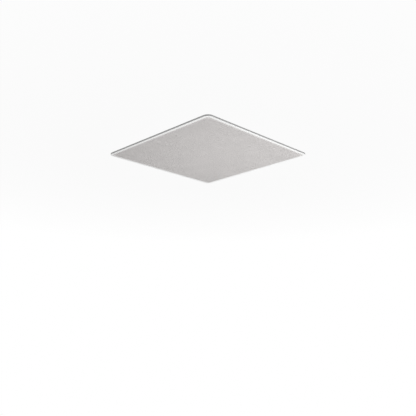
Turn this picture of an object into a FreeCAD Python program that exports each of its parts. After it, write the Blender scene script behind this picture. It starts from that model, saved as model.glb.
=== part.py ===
"""Square in-ceiling loudspeaker: moulded frame, magnetic grille, woofer, pivoting tweeter and clamps.

Millimetres. The origin is the middle of the frame on the underside of the ceiling, so z = 0 is the
face that the frame's flange bears on. +Z points up into the ceiling and the grille faces -Z.
"""
import FreeCAD
import Part

import math
import os

# Woofer cone, surround and spider
CONE_RADIUS = 60.0
CONE_RIM = 5.0
CONE_DEPTH = 26.0
CONE_THICKNESS = 0.8
SURROUND_ROLL = 6.0
SURROUND_THICKNESS = 0.8
SURROUND_LIP = 7.0
EXCURSION = 4.0
DUST_CAP_RADIUS = 22.0
DUST_CAP_HEIGHT = 4.5
DUST_CAP_THICKNESS = 0.6
SPIDER_WAVES = 4
SPIDER_WAVE_RADIUS = 1.6
SPIDER_THICKNESS = 0.5
SPIDER_INNER_LIP = 3.0
SPIDER_OUTER_LIP = 2.7
SPIDER_RISE = 5.0
GLUE_LINE = 0.1

# Woofer motor
FORMER_RADIUS = 12.7
FORMER_WALL = 0.25
FORMER_OVERHANG = 3.0
COIL_THICKNESS = 0.6
COIL_LENGTH = 12.0
COIL_GAP = 0.6
POLE_GAP = 0.5
TOP_PLATE_RADIUS = 35.0
TOP_PLATE_THICKNESS = 5.0
MAGNET_RADIUS = 40.0
MAGNET_BORE_MARGIN = 3.3
MAGNET_THICKNESS = 15.0
YOKE_RADIUS = 38.0
YOKE_THICKNESS = 5.0
YOKE_CHAMFER = 1.0

# Woofer basket
BASKET_FLANGE = 2.0
BASKET_WALL = 2.5
BASKET_MOUTH_CLEARANCE = 2.0
BASKET_SEAT_RISE = 5.5
BASKET_SEAT = 2.0
BASKET_WINDOWS = 6
WINDOW_ANGLE = 42.0
WINDOW_FOOT = 6.0
WINDOW_HEAD = 5.0
SHELF_OVERLAP = 6.0
GASKET_THICKNESS = 1.0
DRIVER_SCREWS = 6
DRIVER_SCREW_INSET = 5.5
DRIVER_SCREW_EDGE = 4.5
DRIVER_SCREW_RADIUS = 1.75
DRIVER_SCREW_LENGTH = 9.0
DRIVER_HEAD_RADIUS = 3.4
DRIVER_HEAD_HEIGHT = 2.2
SCREW_CLEARANCE = 0.1

# Frame
FRAME_CORNER_RADIUS = 9.0
FLANGE_DROP = 2.6
FLANGE_OVERLAP = 13.5
FLANGE_EDGE_FILLET = 0.5
BEZEL_WIDTH = 4.4
RECESS_DEPTH = 1.3
CUTOUT_CLEARANCE = 1.5
SKIRT_WALL = 2.0
SKIRT_HEIGHT = 6.0
SKIRT_CORNER_RADIUS = 6.0
SKIRT_TO_TUB = 4.5
DECK_RISE = 1.5
TUB_WALL = 2.5
TUB_CLEARANCE = 3.0
BAFFLE_THICKNESS = 3.0
BOSS_WALL = 2.4
RIB_THICKNESS = 2.0
GUSSET_REACH = 8.0
GUSSET_ANGLE = 22.0

# Grille and the magnets that hold it
GRILLE_GAP = 0.5
GRILLE_SHEET = 0.7
GRILLE_EDGE_FILLET = 0.3
GRILLE_MARGIN = 1.2
HOLE_DIAMETER = 2.1
HOLE_PITCH = 3.0
SLOTS_PER_ROW = 5
SLOT_BAR = 3.0
SCRIM_THICKNESS = 0.3
SCRIM_BORDER = 0.5
MAGNET_DISC_RADIUS = 4.0
MAGNET_DISC_THICKNESS = 3.0
MAGNET_DISC_OFFSET = 60.0
MAGNET_DISC_INSET = 9.5
MAGNET_SEAT_GAP = 0.1

# Clamps: the screw turns in the frame, the leg swings out and runs down the screw
CLAMP_INSET = 14.5
CLAMP_BITE = 10.0
CLAMP_TRAVEL = 28.0
CLAMP_MIN_BOARD = 8.5
LEG_HUB_RADIUS = 7.0
LEG_HUB_HEIGHT = 14.0
LEG_WIDTH = 9.0
LEG_TIP_HEIGHT = 5.0
LEG_FOOT_LENGTH = 8.0
LEG_FOOT_DROP = 2.5
LEG_FILLET = 1.5
CLAMP_SCREW_RADIUS = 2.0
CLAMP_HEAD_RADIUS = 3.9
CLAMP_HEAD_HEIGHT = 2.4
CLAMP_HEAD_SEAT = 2.6
CROSS_SLOT_WIDTH = 0.9
CROSS_SLOT_DEPTH = 1.3
TOWER_CLEARANCE = 0.8
TOWER_WALL = 2.2
TOWER_CAP = 3.0
STOP_CLEARANCE = 0.4
RUNNING_CLEARANCE = 0.08

# Tweeter and its bridge
POD_RADIUS = 21.0
POD_FACE = 4.0
POD_WALL = 2.0
TILT_LIMIT = 15.0
GRILLE_CLEARANCE = 0.6
DOME_RADIUS = 10.0
DOME_HEIGHT = 2.4
DOME_THICKNESS = 0.3
DOME_FLANGE = 3.6
TWEETER_COIL_WALL = 0.4
TWEETER_COIL_LENGTH = 4.2
TWEETER_COIL_GAP = 0.5
TWEETER_POLE_THICKNESS = 2.0
TWEETER_MAGNET_THICKNESS = 5.0
TWEETER_MAGNET_INSET = 0.6
TWEETER_YOKE_WALL = 2.0
TWEETER_SEAT_GAP = 0.9
FACEPLATE_THICKNESS = 2.4
FACEPLATE_FLARE = 3.0
FIT_CLEARANCE = 0.1
TRUNNION_RADIUS = 2.0
RING_CLEARANCE = 0.6
RING_WALL = 4.4
RING_HALF_HEIGHT = 4.0
BRIDGE_WIDTH = 12.0
BRIDGE_HEIGHT = 5.0
BRIDGE_LEG = 2.5
BRIDGE_FOOT = 2.5
BRIDGE_FILLET = 1.0
ROLL_CLEARANCE = 1.0

# Crossover on the back of the motor
TRAY_FLOOR = 2.0
TRAY_RIM = 6.0
TRAY_RIM_WALL = 1.6
TRAY_CORNER_RADIUS = 5.0
TRAY_SCREW_RADIUS = 2.4
TRAY_SCREW_LENGTH = 12.0
TRAY_HEAD_RADIUS = 4.4
TRAY_HEAD_HEIGHT = 2.8
BOARD_MARGIN = 2.0
BOARD_THICKNESS = 1.6
BOARD_EDGE = 5.0
COMPONENT_GAP = 3.0
STANDOFF_HEIGHT = 3.5
STANDOFF_RADIUS = 3.2
BOARD_SCREW_INSET = 4.5
BOARD_SCREW_RADIUS = 1.25
BOARD_SCREW_LENGTH = 6.5
BOARD_HEAD_RADIUS = 2.4
BOARD_HEAD_HEIGHT = 1.6
BOBBIN_RADIUS = 13.0
BOBBIN_CORE_RADIUS = 6.0
BOBBIN_BORE_RADIUS = 4.5
BOBBIN_CHEEK = 1.2
WINDING_MARGIN = 1.0
WINDING_HEIGHT = 11.0
DRUM_RADIUS = 8.5
DRUM_HEIGHT = 13.0
DRUM_CHEEK = 2.2
DRUM_WINDING_INSET = 0.8
FILM_CAP_LENGTH = 26.0
FILM_CAP_WIDTH = 10.0
FILM_CAP_HEIGHT = 15.0
CAN_RADIUS = 6.5
CAN_LENGTH = 26.0
CAN_GROOVE = 0.7
RESISTOR_LENGTH = 14.0
RESISTOR_SIDE = 6.0
COMPONENT_FILLET = 0.8

# Spring terminals for the loudspeaker wire
TERMINAL_DEPTH = 16.0
TERMINAL_WIDTH = 30.0
TERMINAL_HEIGHT = 18.0
TERMINAL_PITCH = 15.0
TERMINAL_OVERHANG = 1.0
WIRE_HOLE_RADIUS = 1.6
WIRE_HOLE_DEPTH = 10.0
WIRE_HOLE_HEIGHT = 5.5
BUTTON_WIDTH = 9.0
BUTTON_HEIGHT = 6.0
BUTTON_LENGTH = 10.0
BUTTON_STANDOUT = 4.0
BUTTON_TRAVEL = 3.0
BUTTON_CLEARANCE = 0.3
BUTTON_LEVEL = 12.5

# Levels of the front, from the bezel's face up
FACE_Z = -FLANGE_DROP
GRILLE_BACK_Z = FACE_Z + GRILLE_SHEET
SCRIM_BACK_Z = GRILLE_BACK_Z + SCRIM_THICKNESS
LEDGE_Z = FACE_Z + RECESS_DEPTH
POD_FACE_RADIUS = math.sqrt(POD_RADIUS ** 2 - POD_FACE ** 2)
TILT = math.radians(TILT_LIMIT)
POD_REACH = POD_FACE * math.cos(TILT) + POD_FACE_RADIUS * math.sin(TILT)
PIVOT_Z = SCRIM_BACK_Z + GRILLE_CLEARANCE + POD_REACH
BRIDGE_Z = PIVOT_Z - RING_HALF_HEIGHT
ROLL_Z = BRIDGE_Z + BRIDGE_HEIGHT + ROLL_CLEARANCE + EXCURSION

# Levels of the woofer, from the surround's roll up
LIP_Z = ROLL_Z + SURROUND_ROLL + SURROUND_THICKNESS / 2.0
BASKET_Z = LIP_Z + SURROUND_THICKNESS
FLANGE_BACK_Z = BASKET_Z + BASKET_FLANGE
BAFFLE_Z = FLANGE_BACK_Z + GASKET_THICKNESS
BAFFLE_TOP_Z = BAFFLE_Z + BAFFLE_THICKNESS
RIM_Z = BASKET_Z + GLUE_LINE
NECK_Z = RIM_Z + CONE_DEPTH
SPIDER_Z = NECK_Z + SPIDER_RISE
DECK_Z = SPIDER_Z + SPIDER_THICKNESS / 2.0
SEAT_Z = DECK_Z + BASKET_SEAT_RISE
TOP_PLATE_BACK_Z = SEAT_Z + TOP_PLATE_THICKNESS
MAGNET_BACK_Z = TOP_PLATE_BACK_Z + MAGNET_THICKNESS
YOKE_BACK_Z = MAGNET_BACK_Z + YOKE_THICKNESS
BOARD_Z = YOKE_BACK_Z + TRAY_FLOOR + STANDOFF_HEIGHT
COMPONENT_Z = BOARD_Z + BOARD_THICKNESS

# Radii of the woofer, from the coil out
FORMER_OUTER = FORMER_RADIUS + FORMER_WALL
COIL_OUTER = FORMER_OUTER + COIL_THICKNESS
TOP_PLATE_BORE = COIL_OUTER + COIL_GAP
SPIDER_WAVE_START = FORMER_OUTER + GLUE_LINE + SPIDER_INNER_LIP
SPIDER_WAVE_END = SPIDER_WAVE_START + 4.0 * SPIDER_WAVES * SPIDER_WAVE_RADIUS
SPIDER_OUTER = SPIDER_WAVE_END + SPIDER_OUTER_LIP
ROLL_OUTER = CONE_RADIUS + 2.0 * SURROUND_ROLL
LIP_OUTER = ROLL_OUTER + SURROUND_LIP
BAFFLE_HOLE = LIP_OUTER + BASKET_MOUTH_CLEARANCE
SCREW_CIRCLE = BAFFLE_HOLE + DRIVER_SCREW_INSET
BASKET_RADIUS = SCREW_CIRCLE + DRIVER_SCREW_EDGE
TUB_INNER = BASKET_RADIUS + TUB_CLEARANCE
TUB_OUTER = TUB_INNER + TUB_WALL

# Sides of the frame, from the tub out
SKIRT_INNER = 2.0 * (TUB_OUTER + SKIRT_TO_TUB)
SKIRT_SIDE = SKIRT_INNER + 2.0 * SKIRT_WALL
CUTOUT_SIDE = SKIRT_SIDE + 2.0 * CUTOUT_CLEARANCE
FRAME_SIDE = CUTOUT_SIDE + 2.0 * FLANGE_OVERLAP
RECESS_SIDE = FRAME_SIDE - 2.0 * BEZEL_WIDTH
RECESS_CORNER_RADIUS = FRAME_CORNER_RADIUS - BEZEL_WIDTH
GRILLE_SIDE = RECESS_SIDE - 2.0 * GRILLE_GAP
FIELD_SIDE = GRILLE_SIDE - 2.0 * GRILLE_MARGIN

# Crossover board, from its components out
BOARD_LENGTH = (BOARD_EDGE + 2.0 * BOBBIN_RADIUS + COMPONENT_GAP + FILM_CAP_LENGTH + COMPONENT_GAP
                + TERMINAL_DEPTH - TERMINAL_OVERHANG)
BOARD_WIDTH = 2.0 * BOARD_EDGE + 2.0 * BOBBIN_RADIUS + COMPONENT_GAP + 2.0 * DRUM_RADIUS
TRAY_LENGTH = BOARD_LENGTH + 2.0 * (BOARD_MARGIN + TRAY_RIM_WALL)
TRAY_WIDTH = BOARD_WIDTH + 2.0 * (BOARD_MARGIN + TRAY_RIM_WALL)
COIL_X = BOARD_EDGE + BOBBIN_RADIUS - BOARD_LENGTH / 2.0
BOX_X = COIL_X + BOBBIN_RADIUS + COMPONENT_GAP
TERMINAL_FRONT_X = BOARD_LENGTH / 2.0 + TERMINAL_OVERHANG

# Clamp places
CLAMP_XY = SKIRT_INNER / 2.0 - CLAMP_INSET
LEG_REACH = CUTOUT_SIDE / 2.0 + CLAMP_BITE - CLAMP_XY
LEG_Z = CLAMP_MIN_BOARD + CLAMP_TRAVEL
TOWER_INNER = LEG_HUB_RADIUS + TOWER_CLEARANCE
TOWER_OUTER = TOWER_INNER + TOWER_WALL
TOWER_CAP_Z = LEG_Z + LEG_HUB_HEIGHT + STOP_CLEARANCE
TOWER_TOP_Z = TOWER_CAP_Z + TOWER_CAP

X_AXIS = FreeCAD.Vector(1, 0, 0)
Y_AXIS = FreeCAD.Vector(0, 1, 0)
Z_AXIS = FreeCAD.Vector(0, 0, 1)
ORIGIN = FreeCAD.Vector(0, 0, 0)

# Overshoot of a cut past the face that it opens
THROUGH = 1.0


def disc(radius, z0, z1, x=0.0, y=0.0):
    """Upright cylinder between two levels."""
    return Part.makeCylinder(radius, z1 - z0, FreeCAD.Vector(x, y, z0))


def ring(inner, outer, z0, z1):
    """Flat ring round the speaker's axis."""
    return disc(outer, z0, z1).cut(disc(inner, z0, z1))


def block(x0, x1, y0, y1, z0, z1):
    """Rectangular block between two corners."""
    return Part.makeBox(x1 - x0, y1 - y0, z1 - z0, FreeCAD.Vector(x0, y0, z0))


def edges_along(shape, direction):
    """Straight edges of a shape that run along a direction."""
    found = []
    for edge in shape.Edges:
        if edge.Curve.TypeId == "Part::GeomLine":
            tangent = edge.tangentAt(edge.FirstParameter)
            if abs(tangent.dot(direction)) > 0.999:
                found.append(edge)
    return found


def edges_at(shape, z):
    """Edges of a shape that lie in the level z."""
    return [edge for edge in shape.Edges if abs(edge.BoundBox.Center.z - z) + edge.BoundBox.ZLength < 1e-3]


def plate(length, width, corner_radius, z0, z1):
    """Plate with rounded corners, centred on the speaker's axis."""
    slab = block(-length / 2.0, length / 2.0, -width / 2.0, width / 2.0, z0, z1)
    return slab.makeFillet(corner_radius, edges_along(slab, Z_AXIS))


def outline(start, *steps):
    """Face in the XZ plane. A step is an end point, or the middle and end points of an arc."""
    here = FreeCAD.Vector(start[0], 0, start[1])
    edges = []
    for step in steps + (start,):
        if isinstance(step[0], tuple):
            middle, end = [FreeCAD.Vector(x, 0, z) for x, z in step]
            edges.append(Part.Arc(here, middle, end).toShape())
        else:
            end = FreeCAD.Vector(step[0], 0, step[1])
            edges.append(Part.makeLine(here, end))
        here = end
    return Part.Face(Part.Wire(edges))


def swept(face, angle):
    """Solid made by turning a face about the speaker's axis."""
    solid = face.revolve(ORIGIN, Z_AXIS, angle)
    if solid.Volume < 0:
        solid.reverse()
    return solid


def turned(start, *steps):
    """Solid of revolution about the speaker's axis."""
    return swept(outline(start, *steps), 360)


def pulled(face, width):
    """Solid made by pulling a face of the XZ plane to both sides."""
    face.translate(FreeCAD.Vector(0, width / 2.0, 0))
    return face.extrude(FreeCAD.Vector(0, -width, 0))


def rotated(shape, angle):
    """Copy of a shape turned about the speaker's axis."""
    copy = shape.copy()
    copy.rotate(ORIGIN, Z_AXIS, angle)
    return copy


def moved(shape, x, y, z):
    """Copy of a shape moved along."""
    copy = shape.copy()
    copy.translate(FreeCAD.Vector(x, y, z))
    return copy


def around(shape, count):
    """Copies of a shape at equal angles about the speaker's axis."""
    return [rotated(shape, 360.0 * i / count) for i in range(count)]


def dome_middle(radius, height, z_edge):
    """Point halfway along the arc of a dome that hangs below its edge."""
    sphere = (radius ** 2 + height ** 2) / (2.0 * height)
    half = math.asin(radius / sphere) / 2.0
    return (sphere * math.sin(half), z_edge - height + sphere * (1.0 - math.cos(half)))


def dome_shell(radius, height, thickness, z_edge):
    """Thin dome whose crown points down."""
    crown = z_edge - height
    inner = radius - thickness
    inner_height = height - thickness
    return turned((0.0, crown), (dome_middle(radius, height, z_edge), (radius, z_edge)), (inner, z_edge),
                  (dome_middle(inner, inner_height, z_edge), (0.0, crown + thickness)))


def pan_screw(radius, length, head_radius, head_height):
    """Cross-head screw that points up, with the seat of its head at z = 0."""
    tip = radius / 2.0
    edge = -head_height / 3.0
    screw = turned((0.0, -head_height), ((head_radius * 0.72, -head_height * 0.8), (head_radius, edge)),
                   (head_radius, 0.0), (radius, 0.0), (radius, length - tip), (radius - tip, length),
                   (0.0, length))
    reach = head_radius * 0.6
    half = CROSS_SLOT_WIDTH / 2.0
    bar = block(-reach, reach, -half, half, -head_height - THROUGH, CROSS_SLOT_DEPTH - head_height)
    return screw.cut([bar, rotated(bar, 90)])


def upside_down(shape):
    """Copy of a shape turned over about the X axis."""
    copy = shape.copy()
    copy.rotate(ORIGIN, X_AXIS, 180)
    return copy


def driver_places(first, step):
    """Places on the driver's screw circle, counted from the one on +Y."""
    places = []
    for i in range(first, DRIVER_SCREWS, step):
        angle = math.radians(90.0 + 360.0 * i / DRIVER_SCREWS)
        places.append((SCREW_CIRCLE * math.cos(angle), SCREW_CIRCLE * math.sin(angle)))
    return places


def driver_holes(z0, z1):
    """Clearance holes for all the driver's screws."""
    return [disc(DRIVER_SCREW_RADIUS + SCREW_CLEARANCE, z0, z1, x, y) for x, y in driver_places(0, 1)]


def clamp_tower():
    """Guide tower of one clamp, standing at the origin with its window between +X and -Y."""
    half_window = math.degrees(math.asin((LEG_WIDTH / 2.0 + STOP_CLEARANCE) / TOWER_INNER))
    section = outline((TOWER_INNER, LEDGE_Z), (TOWER_OUTER, LEDGE_Z), (TOWER_OUTER, TOWER_CAP_Z),
                      (TOWER_INNER, TOWER_CAP_Z))
    wall = rotated(swept(section, 270.0 - 2.0 * half_window), half_window)
    cap = disc(TOWER_OUTER, TOWER_CAP_Z, TOWER_TOP_Z)
    boss = disc(CLAMP_HEAD_RADIUS + STOP_CLEARANCE + BOSS_WALL, LEDGE_Z, SKIRT_HEIGHT)
    web_length = CLAMP_XY * math.sqrt(2.0) - TUB_OUTER + TUB_WALL / 2.0
    web = block(-web_length, -TOWER_INNER - TOWER_WALL / 2.0, -RIB_THICKNESS / 2.0, RIB_THICKNESS / 2.0,
                LEDGE_Z, BAFFLE_TOP_Z)
    return wall.multiFuse([cap, boss, rotated(web, 45)])


def make_frame():
    """Moulded frame: bezel, grille recess, skirt, tub, baffle, clamp towers and magnet bosses."""
    flange = plate(FRAME_SIDE, FRAME_SIDE, FRAME_CORNER_RADIUS, FACE_Z, 0.0)
    flange = flange.makeFillet(FLANGE_EDGE_FILLET, edges_at(flange, FACE_Z))
    flange = flange.cut(plate(RECESS_SIDE, RECESS_SIDE, RECESS_CORNER_RADIUS, FACE_Z - THROUGH, LEDGE_Z))
    skirt = plate(SKIRT_SIDE, SKIRT_SIDE, SKIRT_CORNER_RADIUS, LEDGE_Z, SKIRT_HEIGHT)
    skirt = skirt.cut(plate(SKIRT_INNER, SKIRT_INNER, SKIRT_CORNER_RADIUS - SKIRT_WALL,
                            DECK_RISE, SKIRT_HEIGHT + THROUGH))
    tub = disc(TUB_OUTER, LEDGE_Z, BAFFLE_TOP_Z)
    tower = moved(clamp_tower(), CLAMP_XY, CLAMP_XY, 0.0)
    magnet_x, magnet_y = MAGNET_DISC_OFFSET, SKIRT_INNER / 2.0 - MAGNET_DISC_INSET
    pocket_top = magnet_top() + MAGNET_SEAT_GAP
    magnet_boss = disc(MAGNET_DISC_RADIUS + BOSS_WALL, LEDGE_Z, pocket_top + DECK_RISE, magnet_x, magnet_y)
    boss_radius = DRIVER_SCREW_RADIUS + BOSS_WALL
    boss_top = BASKET_Z + DRIVER_SCREW_LENGTH + BOSS_WALL / 2.0
    driver_bosses = [disc(boss_radius, BAFFLE_Z, boss_top, x, y) for x, y in driver_places(0, 1)]
    gusset = pulled(outline((TUB_INNER, DECK_RISE), (TUB_OUTER + GUSSET_REACH, DECK_RISE),
                            (TUB_OUTER, BAFFLE_Z), (TUB_INNER, BAFFLE_Z)), RIB_THICKNESS)
    gussets = around(rotated(gusset, 45.0 - GUSSET_ANGLE), 4)
    gussets += around(rotated(gusset, 45.0 + GUSSET_ANGLE), 4)
    bosses = around(tower, 4) + around(magnet_boss, 4) + driver_bosses
    frame = flange.multiFuse([skirt, tub] + bosses + gussets)
    pocket = disc(MAGNET_DISC_RADIUS + FIT_CLEARANCE, LEDGE_Z - THROUGH, pocket_top, magnet_x, magnet_y)
    counterbore = disc(CLAMP_HEAD_RADIUS + STOP_CLEARANCE, LEDGE_Z - THROUGH, CLAMP_HEAD_SEAT,
                       CLAMP_XY, CLAMP_XY)
    screw_hole = disc(CLAMP_SCREW_RADIUS + RUNNING_CLEARANCE, LEDGE_Z, TOWER_TOP_Z + THROUGH,
                      CLAMP_XY, CLAMP_XY)
    cuts = [disc(TUB_INNER, LEDGE_Z - THROUGH, BAFFLE_Z)]
    cuts.append(disc(BAFFLE_HOLE, BAFFLE_Z - THROUGH, BAFFLE_TOP_Z + THROUGH))
    cuts += driver_holes(BAFFLE_Z - THROUGH, BASKET_Z + DRIVER_SCREW_LENGTH + SCREW_CLEARANCE)
    cuts += around(pocket, 4) + around(counterbore, 4) + around(screw_hole, 4)
    return frame.cut(cuts).removeSplitter()


def make_grille():
    """Punched sheet. Each slot stands for a stretch of a row of holes, with the same open area."""
    sheet = plate(GRILLE_SIDE, GRILLE_SIDE, RECESS_CORNER_RADIUS - GRILLE_GAP, FACE_Z, GRILLE_BACK_Z)
    face = [side for side in sheet.Faces if side.CenterOfMass.z < FACE_Z + 1e-6][0]
    row_pitch = HOLE_PITCH * math.sqrt(3.0) / 2.0
    rows = int(FIELD_SIDE // row_pitch)
    open_share = math.pi / (2.0 * math.sqrt(3.0)) * (HOLE_DIAMETER / HOLE_PITCH) ** 2
    step = (FIELD_SIDE + SLOT_BAR) / SLOTS_PER_ROW
    half_slot = open_share * row_pitch / (1.0 - SLOT_BAR / step) / 2.0
    wires = [face.OuterWire]
    for row in range(rows):
        y = (row - (rows - 1) / 2.0) * row_pitch
        shift = step / 2.0 * (row % 2)
        for i in range(SLOTS_PER_ROW + row % 2):
            x0 = max(-FIELD_SIDE / 2.0 + i * step - shift, -FIELD_SIDE / 2.0)
            x1 = min(-FIELD_SIDE / 2.0 + (i + 1) * step - shift - SLOT_BAR, FIELD_SIDE / 2.0)
            corners = [(x0, y - half_slot), (x1, y - half_slot), (x1, y + half_slot), (x0, y + half_slot)]
            corners = [FreeCAD.Vector(x, side_y, FACE_Z) for x, side_y in corners]
            wires.append(Part.makePolygon(corners + corners[:1]))
    punched = Part.makeFace(wires, "Part::FaceMakerBullseye").extrude(FreeCAD.Vector(0, 0, GRILLE_SHEET))
    rim = [edge for edge in edges_at(punched, FACE_Z)
           if max(abs(edge.CenterOfMass.x), abs(edge.CenterOfMass.y)) > (FIELD_SIDE + GRILLE_MARGIN) / 2.0]
    return punched.makeFillet(GRILLE_EDGE_FILLET, rim)


def make_scrim():
    """Cloth glued to the grille's back, just wider than the punched field."""
    side = FIELD_SIDE + 2.0 * SCRIM_BORDER
    return plate(side, side, RECESS_CORNER_RADIUS - GRILLE_GAP, GRILLE_BACK_Z, SCRIM_BACK_Z)


def magnet_top():
    """Level of the back of the grille's magnets."""
    return SCRIM_BACK_Z + MAGNET_SEAT_GAP + MAGNET_DISC_THICKNESS


def make_grille_magnets():
    """Disc magnets that hold the grille through its cloth."""
    magnet = disc(MAGNET_DISC_RADIUS, magnet_top() - MAGNET_DISC_THICKNESS, magnet_top(),
                  MAGNET_DISC_OFFSET, SKIRT_INNER / 2.0 - MAGNET_DISC_INSET)
    return Part.makeCompound(around(magnet, 4))


def make_gasket():
    """Foam ring between the basket and the baffle."""
    gasket = ring(BAFFLE_HOLE, BASKET_RADIUS, FLANGE_BACK_Z, BAFFLE_Z)
    return gasket.cut(driver_holes(FLANGE_BACK_Z, BAFFLE_Z))


def make_basket():
    """Cast basket: flange, shelf for the surround, open spokes, spider deck and motor seat."""
    shelf = LIP_OUTER - SHELF_OVERLAP
    deck_inner = SPIDER_OUTER + STOP_CLEARANCE
    deck_outer = deck_inner + BASKET_WALL
    neck = SPIDER_WAVE_END - 1.5 * SPIDER_WAVE_RADIUS
    seat_bore = TOP_PLATE_BORE + BASKET_SEAT
    deck_back = DECK_Z + BASKET_WALL
    neck_outer = neck + BASKET_WALL
    seat_front = SEAT_Z - BASKET_SEAT
    basket = turned((shelf, BASKET_Z), (BASKET_RADIUS, BASKET_Z), (BASKET_RADIUS, FLANGE_BACK_Z),
                    (LIP_OUTER, FLANGE_BACK_Z), (deck_outer, deck_back), (neck_outer, deck_back),
                    (neck_outer, SEAT_Z), (seat_bore, SEAT_Z), (seat_bore, seat_front), (neck, seat_front),
                    (neck, DECK_Z), (deck_inner, DECK_Z), (LIP_OUTER - BASKET_WALL, FLANGE_BACK_Z),
                    (shelf, FLANGE_BACK_Z))
    window_foot = FLANGE_BACK_Z + WINDOW_FOOT
    window_head = DECK_Z - WINDOW_HEAD
    section = outline((neck, window_foot), (BASKET_RADIUS, window_foot), (BASKET_RADIUS, window_head),
                      (neck, window_head))
    window = rotated(swept(section, WINDOW_ANGLE), -WINDOW_ANGLE / 2.0)
    return basket.cut(around(window, BASKET_WINDOWS) + driver_holes(BASKET_Z, FLANGE_BACK_Z))


def make_surround():
    """Rubber half roll between the basket's shelf and the cone's rim."""
    half = SURROUND_THICKNESS / 2.0
    middle = LIP_Z + half
    crest = CONE_RADIUS + SURROUND_ROLL
    outer = SURROUND_ROLL + half
    inner = SURROUND_ROLL - half
    roll = turned((crest - outer, middle), ((crest, middle - outer), (crest + outer, middle)),
                  (crest + inner, middle), ((crest, middle - inner), (crest - inner, middle)))
    inner_lip = ring(CONE_RADIUS - CONE_RIM, CONE_RADIUS + half, LIP_Z, LIP_Z + SURROUND_THICKNESS)
    outer_lip = ring(ROLL_OUTER - half, LIP_OUTER, LIP_Z, LIP_Z + SURROUND_THICKNESS)
    return roll.multiFuse([inner_lip, outer_lip])


def make_spider():
    """Corrugated cloth that centres the coil, a chain of half rounds between two flat lips."""
    half = SPIDER_THICKNESS / 2.0
    lower = []
    upper = []
    for i in range(2 * SPIDER_WAVES):
        middle = SPIDER_WAVE_START + (2 * i + 1) * SPIDER_WAVE_RADIUS
        sign = 1 if i % 2 == 0 else -1
        low = SPIDER_WAVE_RADIUS - sign * half
        high = SPIDER_WAVE_RADIUS + sign * half
        lower.append(((middle, SPIDER_Z + sign * low), (middle + low, SPIDER_Z)))
        upper.append(((middle, SPIDER_Z + sign * high), (middle - high, SPIDER_Z)))
    waves = turned((SPIDER_WAVE_START + half, SPIDER_Z), *lower,
                   (SPIDER_WAVE_END - half, SPIDER_Z), *upper[::-1])
    inner_lip = ring(FORMER_OUTER + GLUE_LINE, SPIDER_WAVE_START + half, SPIDER_Z - half, SPIDER_Z + half)
    outer_lip = ring(SPIDER_WAVE_END - half, SPIDER_OUTER, SPIDER_Z - half, SPIDER_Z + half)
    return waves.multiFuse([inner_lip, outer_lip])


def cone_slope():
    """Rise of the cone for each millimetre towards its neck."""
    return (NECK_Z - RIM_Z) / (CONE_RADIUS - CONE_RIM - FORMER_OUTER)


def make_cone():
    """Straight cone with a flat rim for the surround."""
    upright = CONE_THICKNESS * math.hypot(1.0, cone_slope())
    fold = CONE_RADIUS - CONE_RIM
    rim_back = RIM_Z + CONE_THICKNESS
    return turned((FORMER_OUTER, NECK_Z), (fold, RIM_Z), (CONE_RADIUS, RIM_Z), (CONE_RADIUS, rim_back),
                  (fold, rim_back), (FORMER_OUTER, NECK_Z + upright))


def make_dust_cap():
    """Dome that closes the middle of the cone."""
    edge_z = RIM_Z + (CONE_RADIUS - CONE_RIM - DUST_CAP_RADIUS) * cone_slope() - GLUE_LINE
    return dome_shell(DUST_CAP_RADIUS, DUST_CAP_HEIGHT, DUST_CAP_THICKNESS, edge_z)


def coil_levels():
    """Bottom and top of the woofer's coil, centred on the top plate."""
    middle = SEAT_Z + TOP_PLATE_THICKNESS / 2.0
    return middle - COIL_LENGTH / 2.0, middle + COIL_LENGTH / 2.0


def make_former():
    """Thin tube that carries the coil and the cone's neck."""
    return ring(FORMER_RADIUS, FORMER_OUTER, NECK_Z - FORMER_OVERHANG, coil_levels()[1])


def make_coil():
    """Wound copper coil on the former."""
    return ring(FORMER_OUTER, COIL_OUTER, *coil_levels())


def make_top_plate():
    """Steel ring at the front of the magnet."""
    return ring(TOP_PLATE_BORE, TOP_PLATE_RADIUS, SEAT_Z, TOP_PLATE_BACK_Z)


def make_woofer_magnet():
    """Ferrite ring magnet."""
    return ring(TOP_PLATE_BORE + MAGNET_BORE_MARGIN, MAGNET_RADIUS, TOP_PLATE_BACK_Z, MAGNET_BACK_Z)


def make_yoke():
    """Back plate and pole in one piece, tapped for the tray's screw."""
    pole = FORMER_RADIUS - POLE_GAP
    yoke = turned((0.0, SEAT_Z), (pole, SEAT_Z), (pole, MAGNET_BACK_Z), (YOKE_RADIUS, MAGNET_BACK_Z),
                  (YOKE_RADIUS, YOKE_BACK_Z - YOKE_CHAMFER), (YOKE_RADIUS - YOKE_CHAMFER, YOKE_BACK_Z),
                  (0.0, YOKE_BACK_Z))
    tapped = disc(TRAY_SCREW_RADIUS + SCREW_CLEARANCE, YOKE_BACK_Z - TRAY_SCREW_LENGTH, YOKE_BACK_Z)
    return yoke.cut(tapped)


def driver_screw(length):
    """One of the driver's screws."""
    return pan_screw(DRIVER_SCREW_RADIUS, length, DRIVER_HEAD_RADIUS, DRIVER_HEAD_HEIGHT)


def make_woofer_screws():
    """Screws that hold the basket alone."""
    screw = driver_screw(DRIVER_SCREW_LENGTH)
    half = DRIVER_SCREWS // 2
    places = [place for i, place in enumerate(driver_places(0, 1)) if i % half]
    return Part.makeCompound([moved(screw, x, y, BASKET_Z) for x, y in places])


def make_bridge_screws():
    """Longer screws that hold the bridge's feet and the basket."""
    screw = driver_screw(DRIVER_SCREW_LENGTH + BRIDGE_FOOT)
    places = driver_places(0, DRIVER_SCREWS // 2)
    return Part.makeCompound([moved(screw, x, y, BASKET_Z - BRIDGE_FOOT) for x, y in places])


def ring_outer():
    """Outside radius of the bridge's ring."""
    return POD_RADIUS + RING_CLEARANCE + RING_WALL


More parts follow.
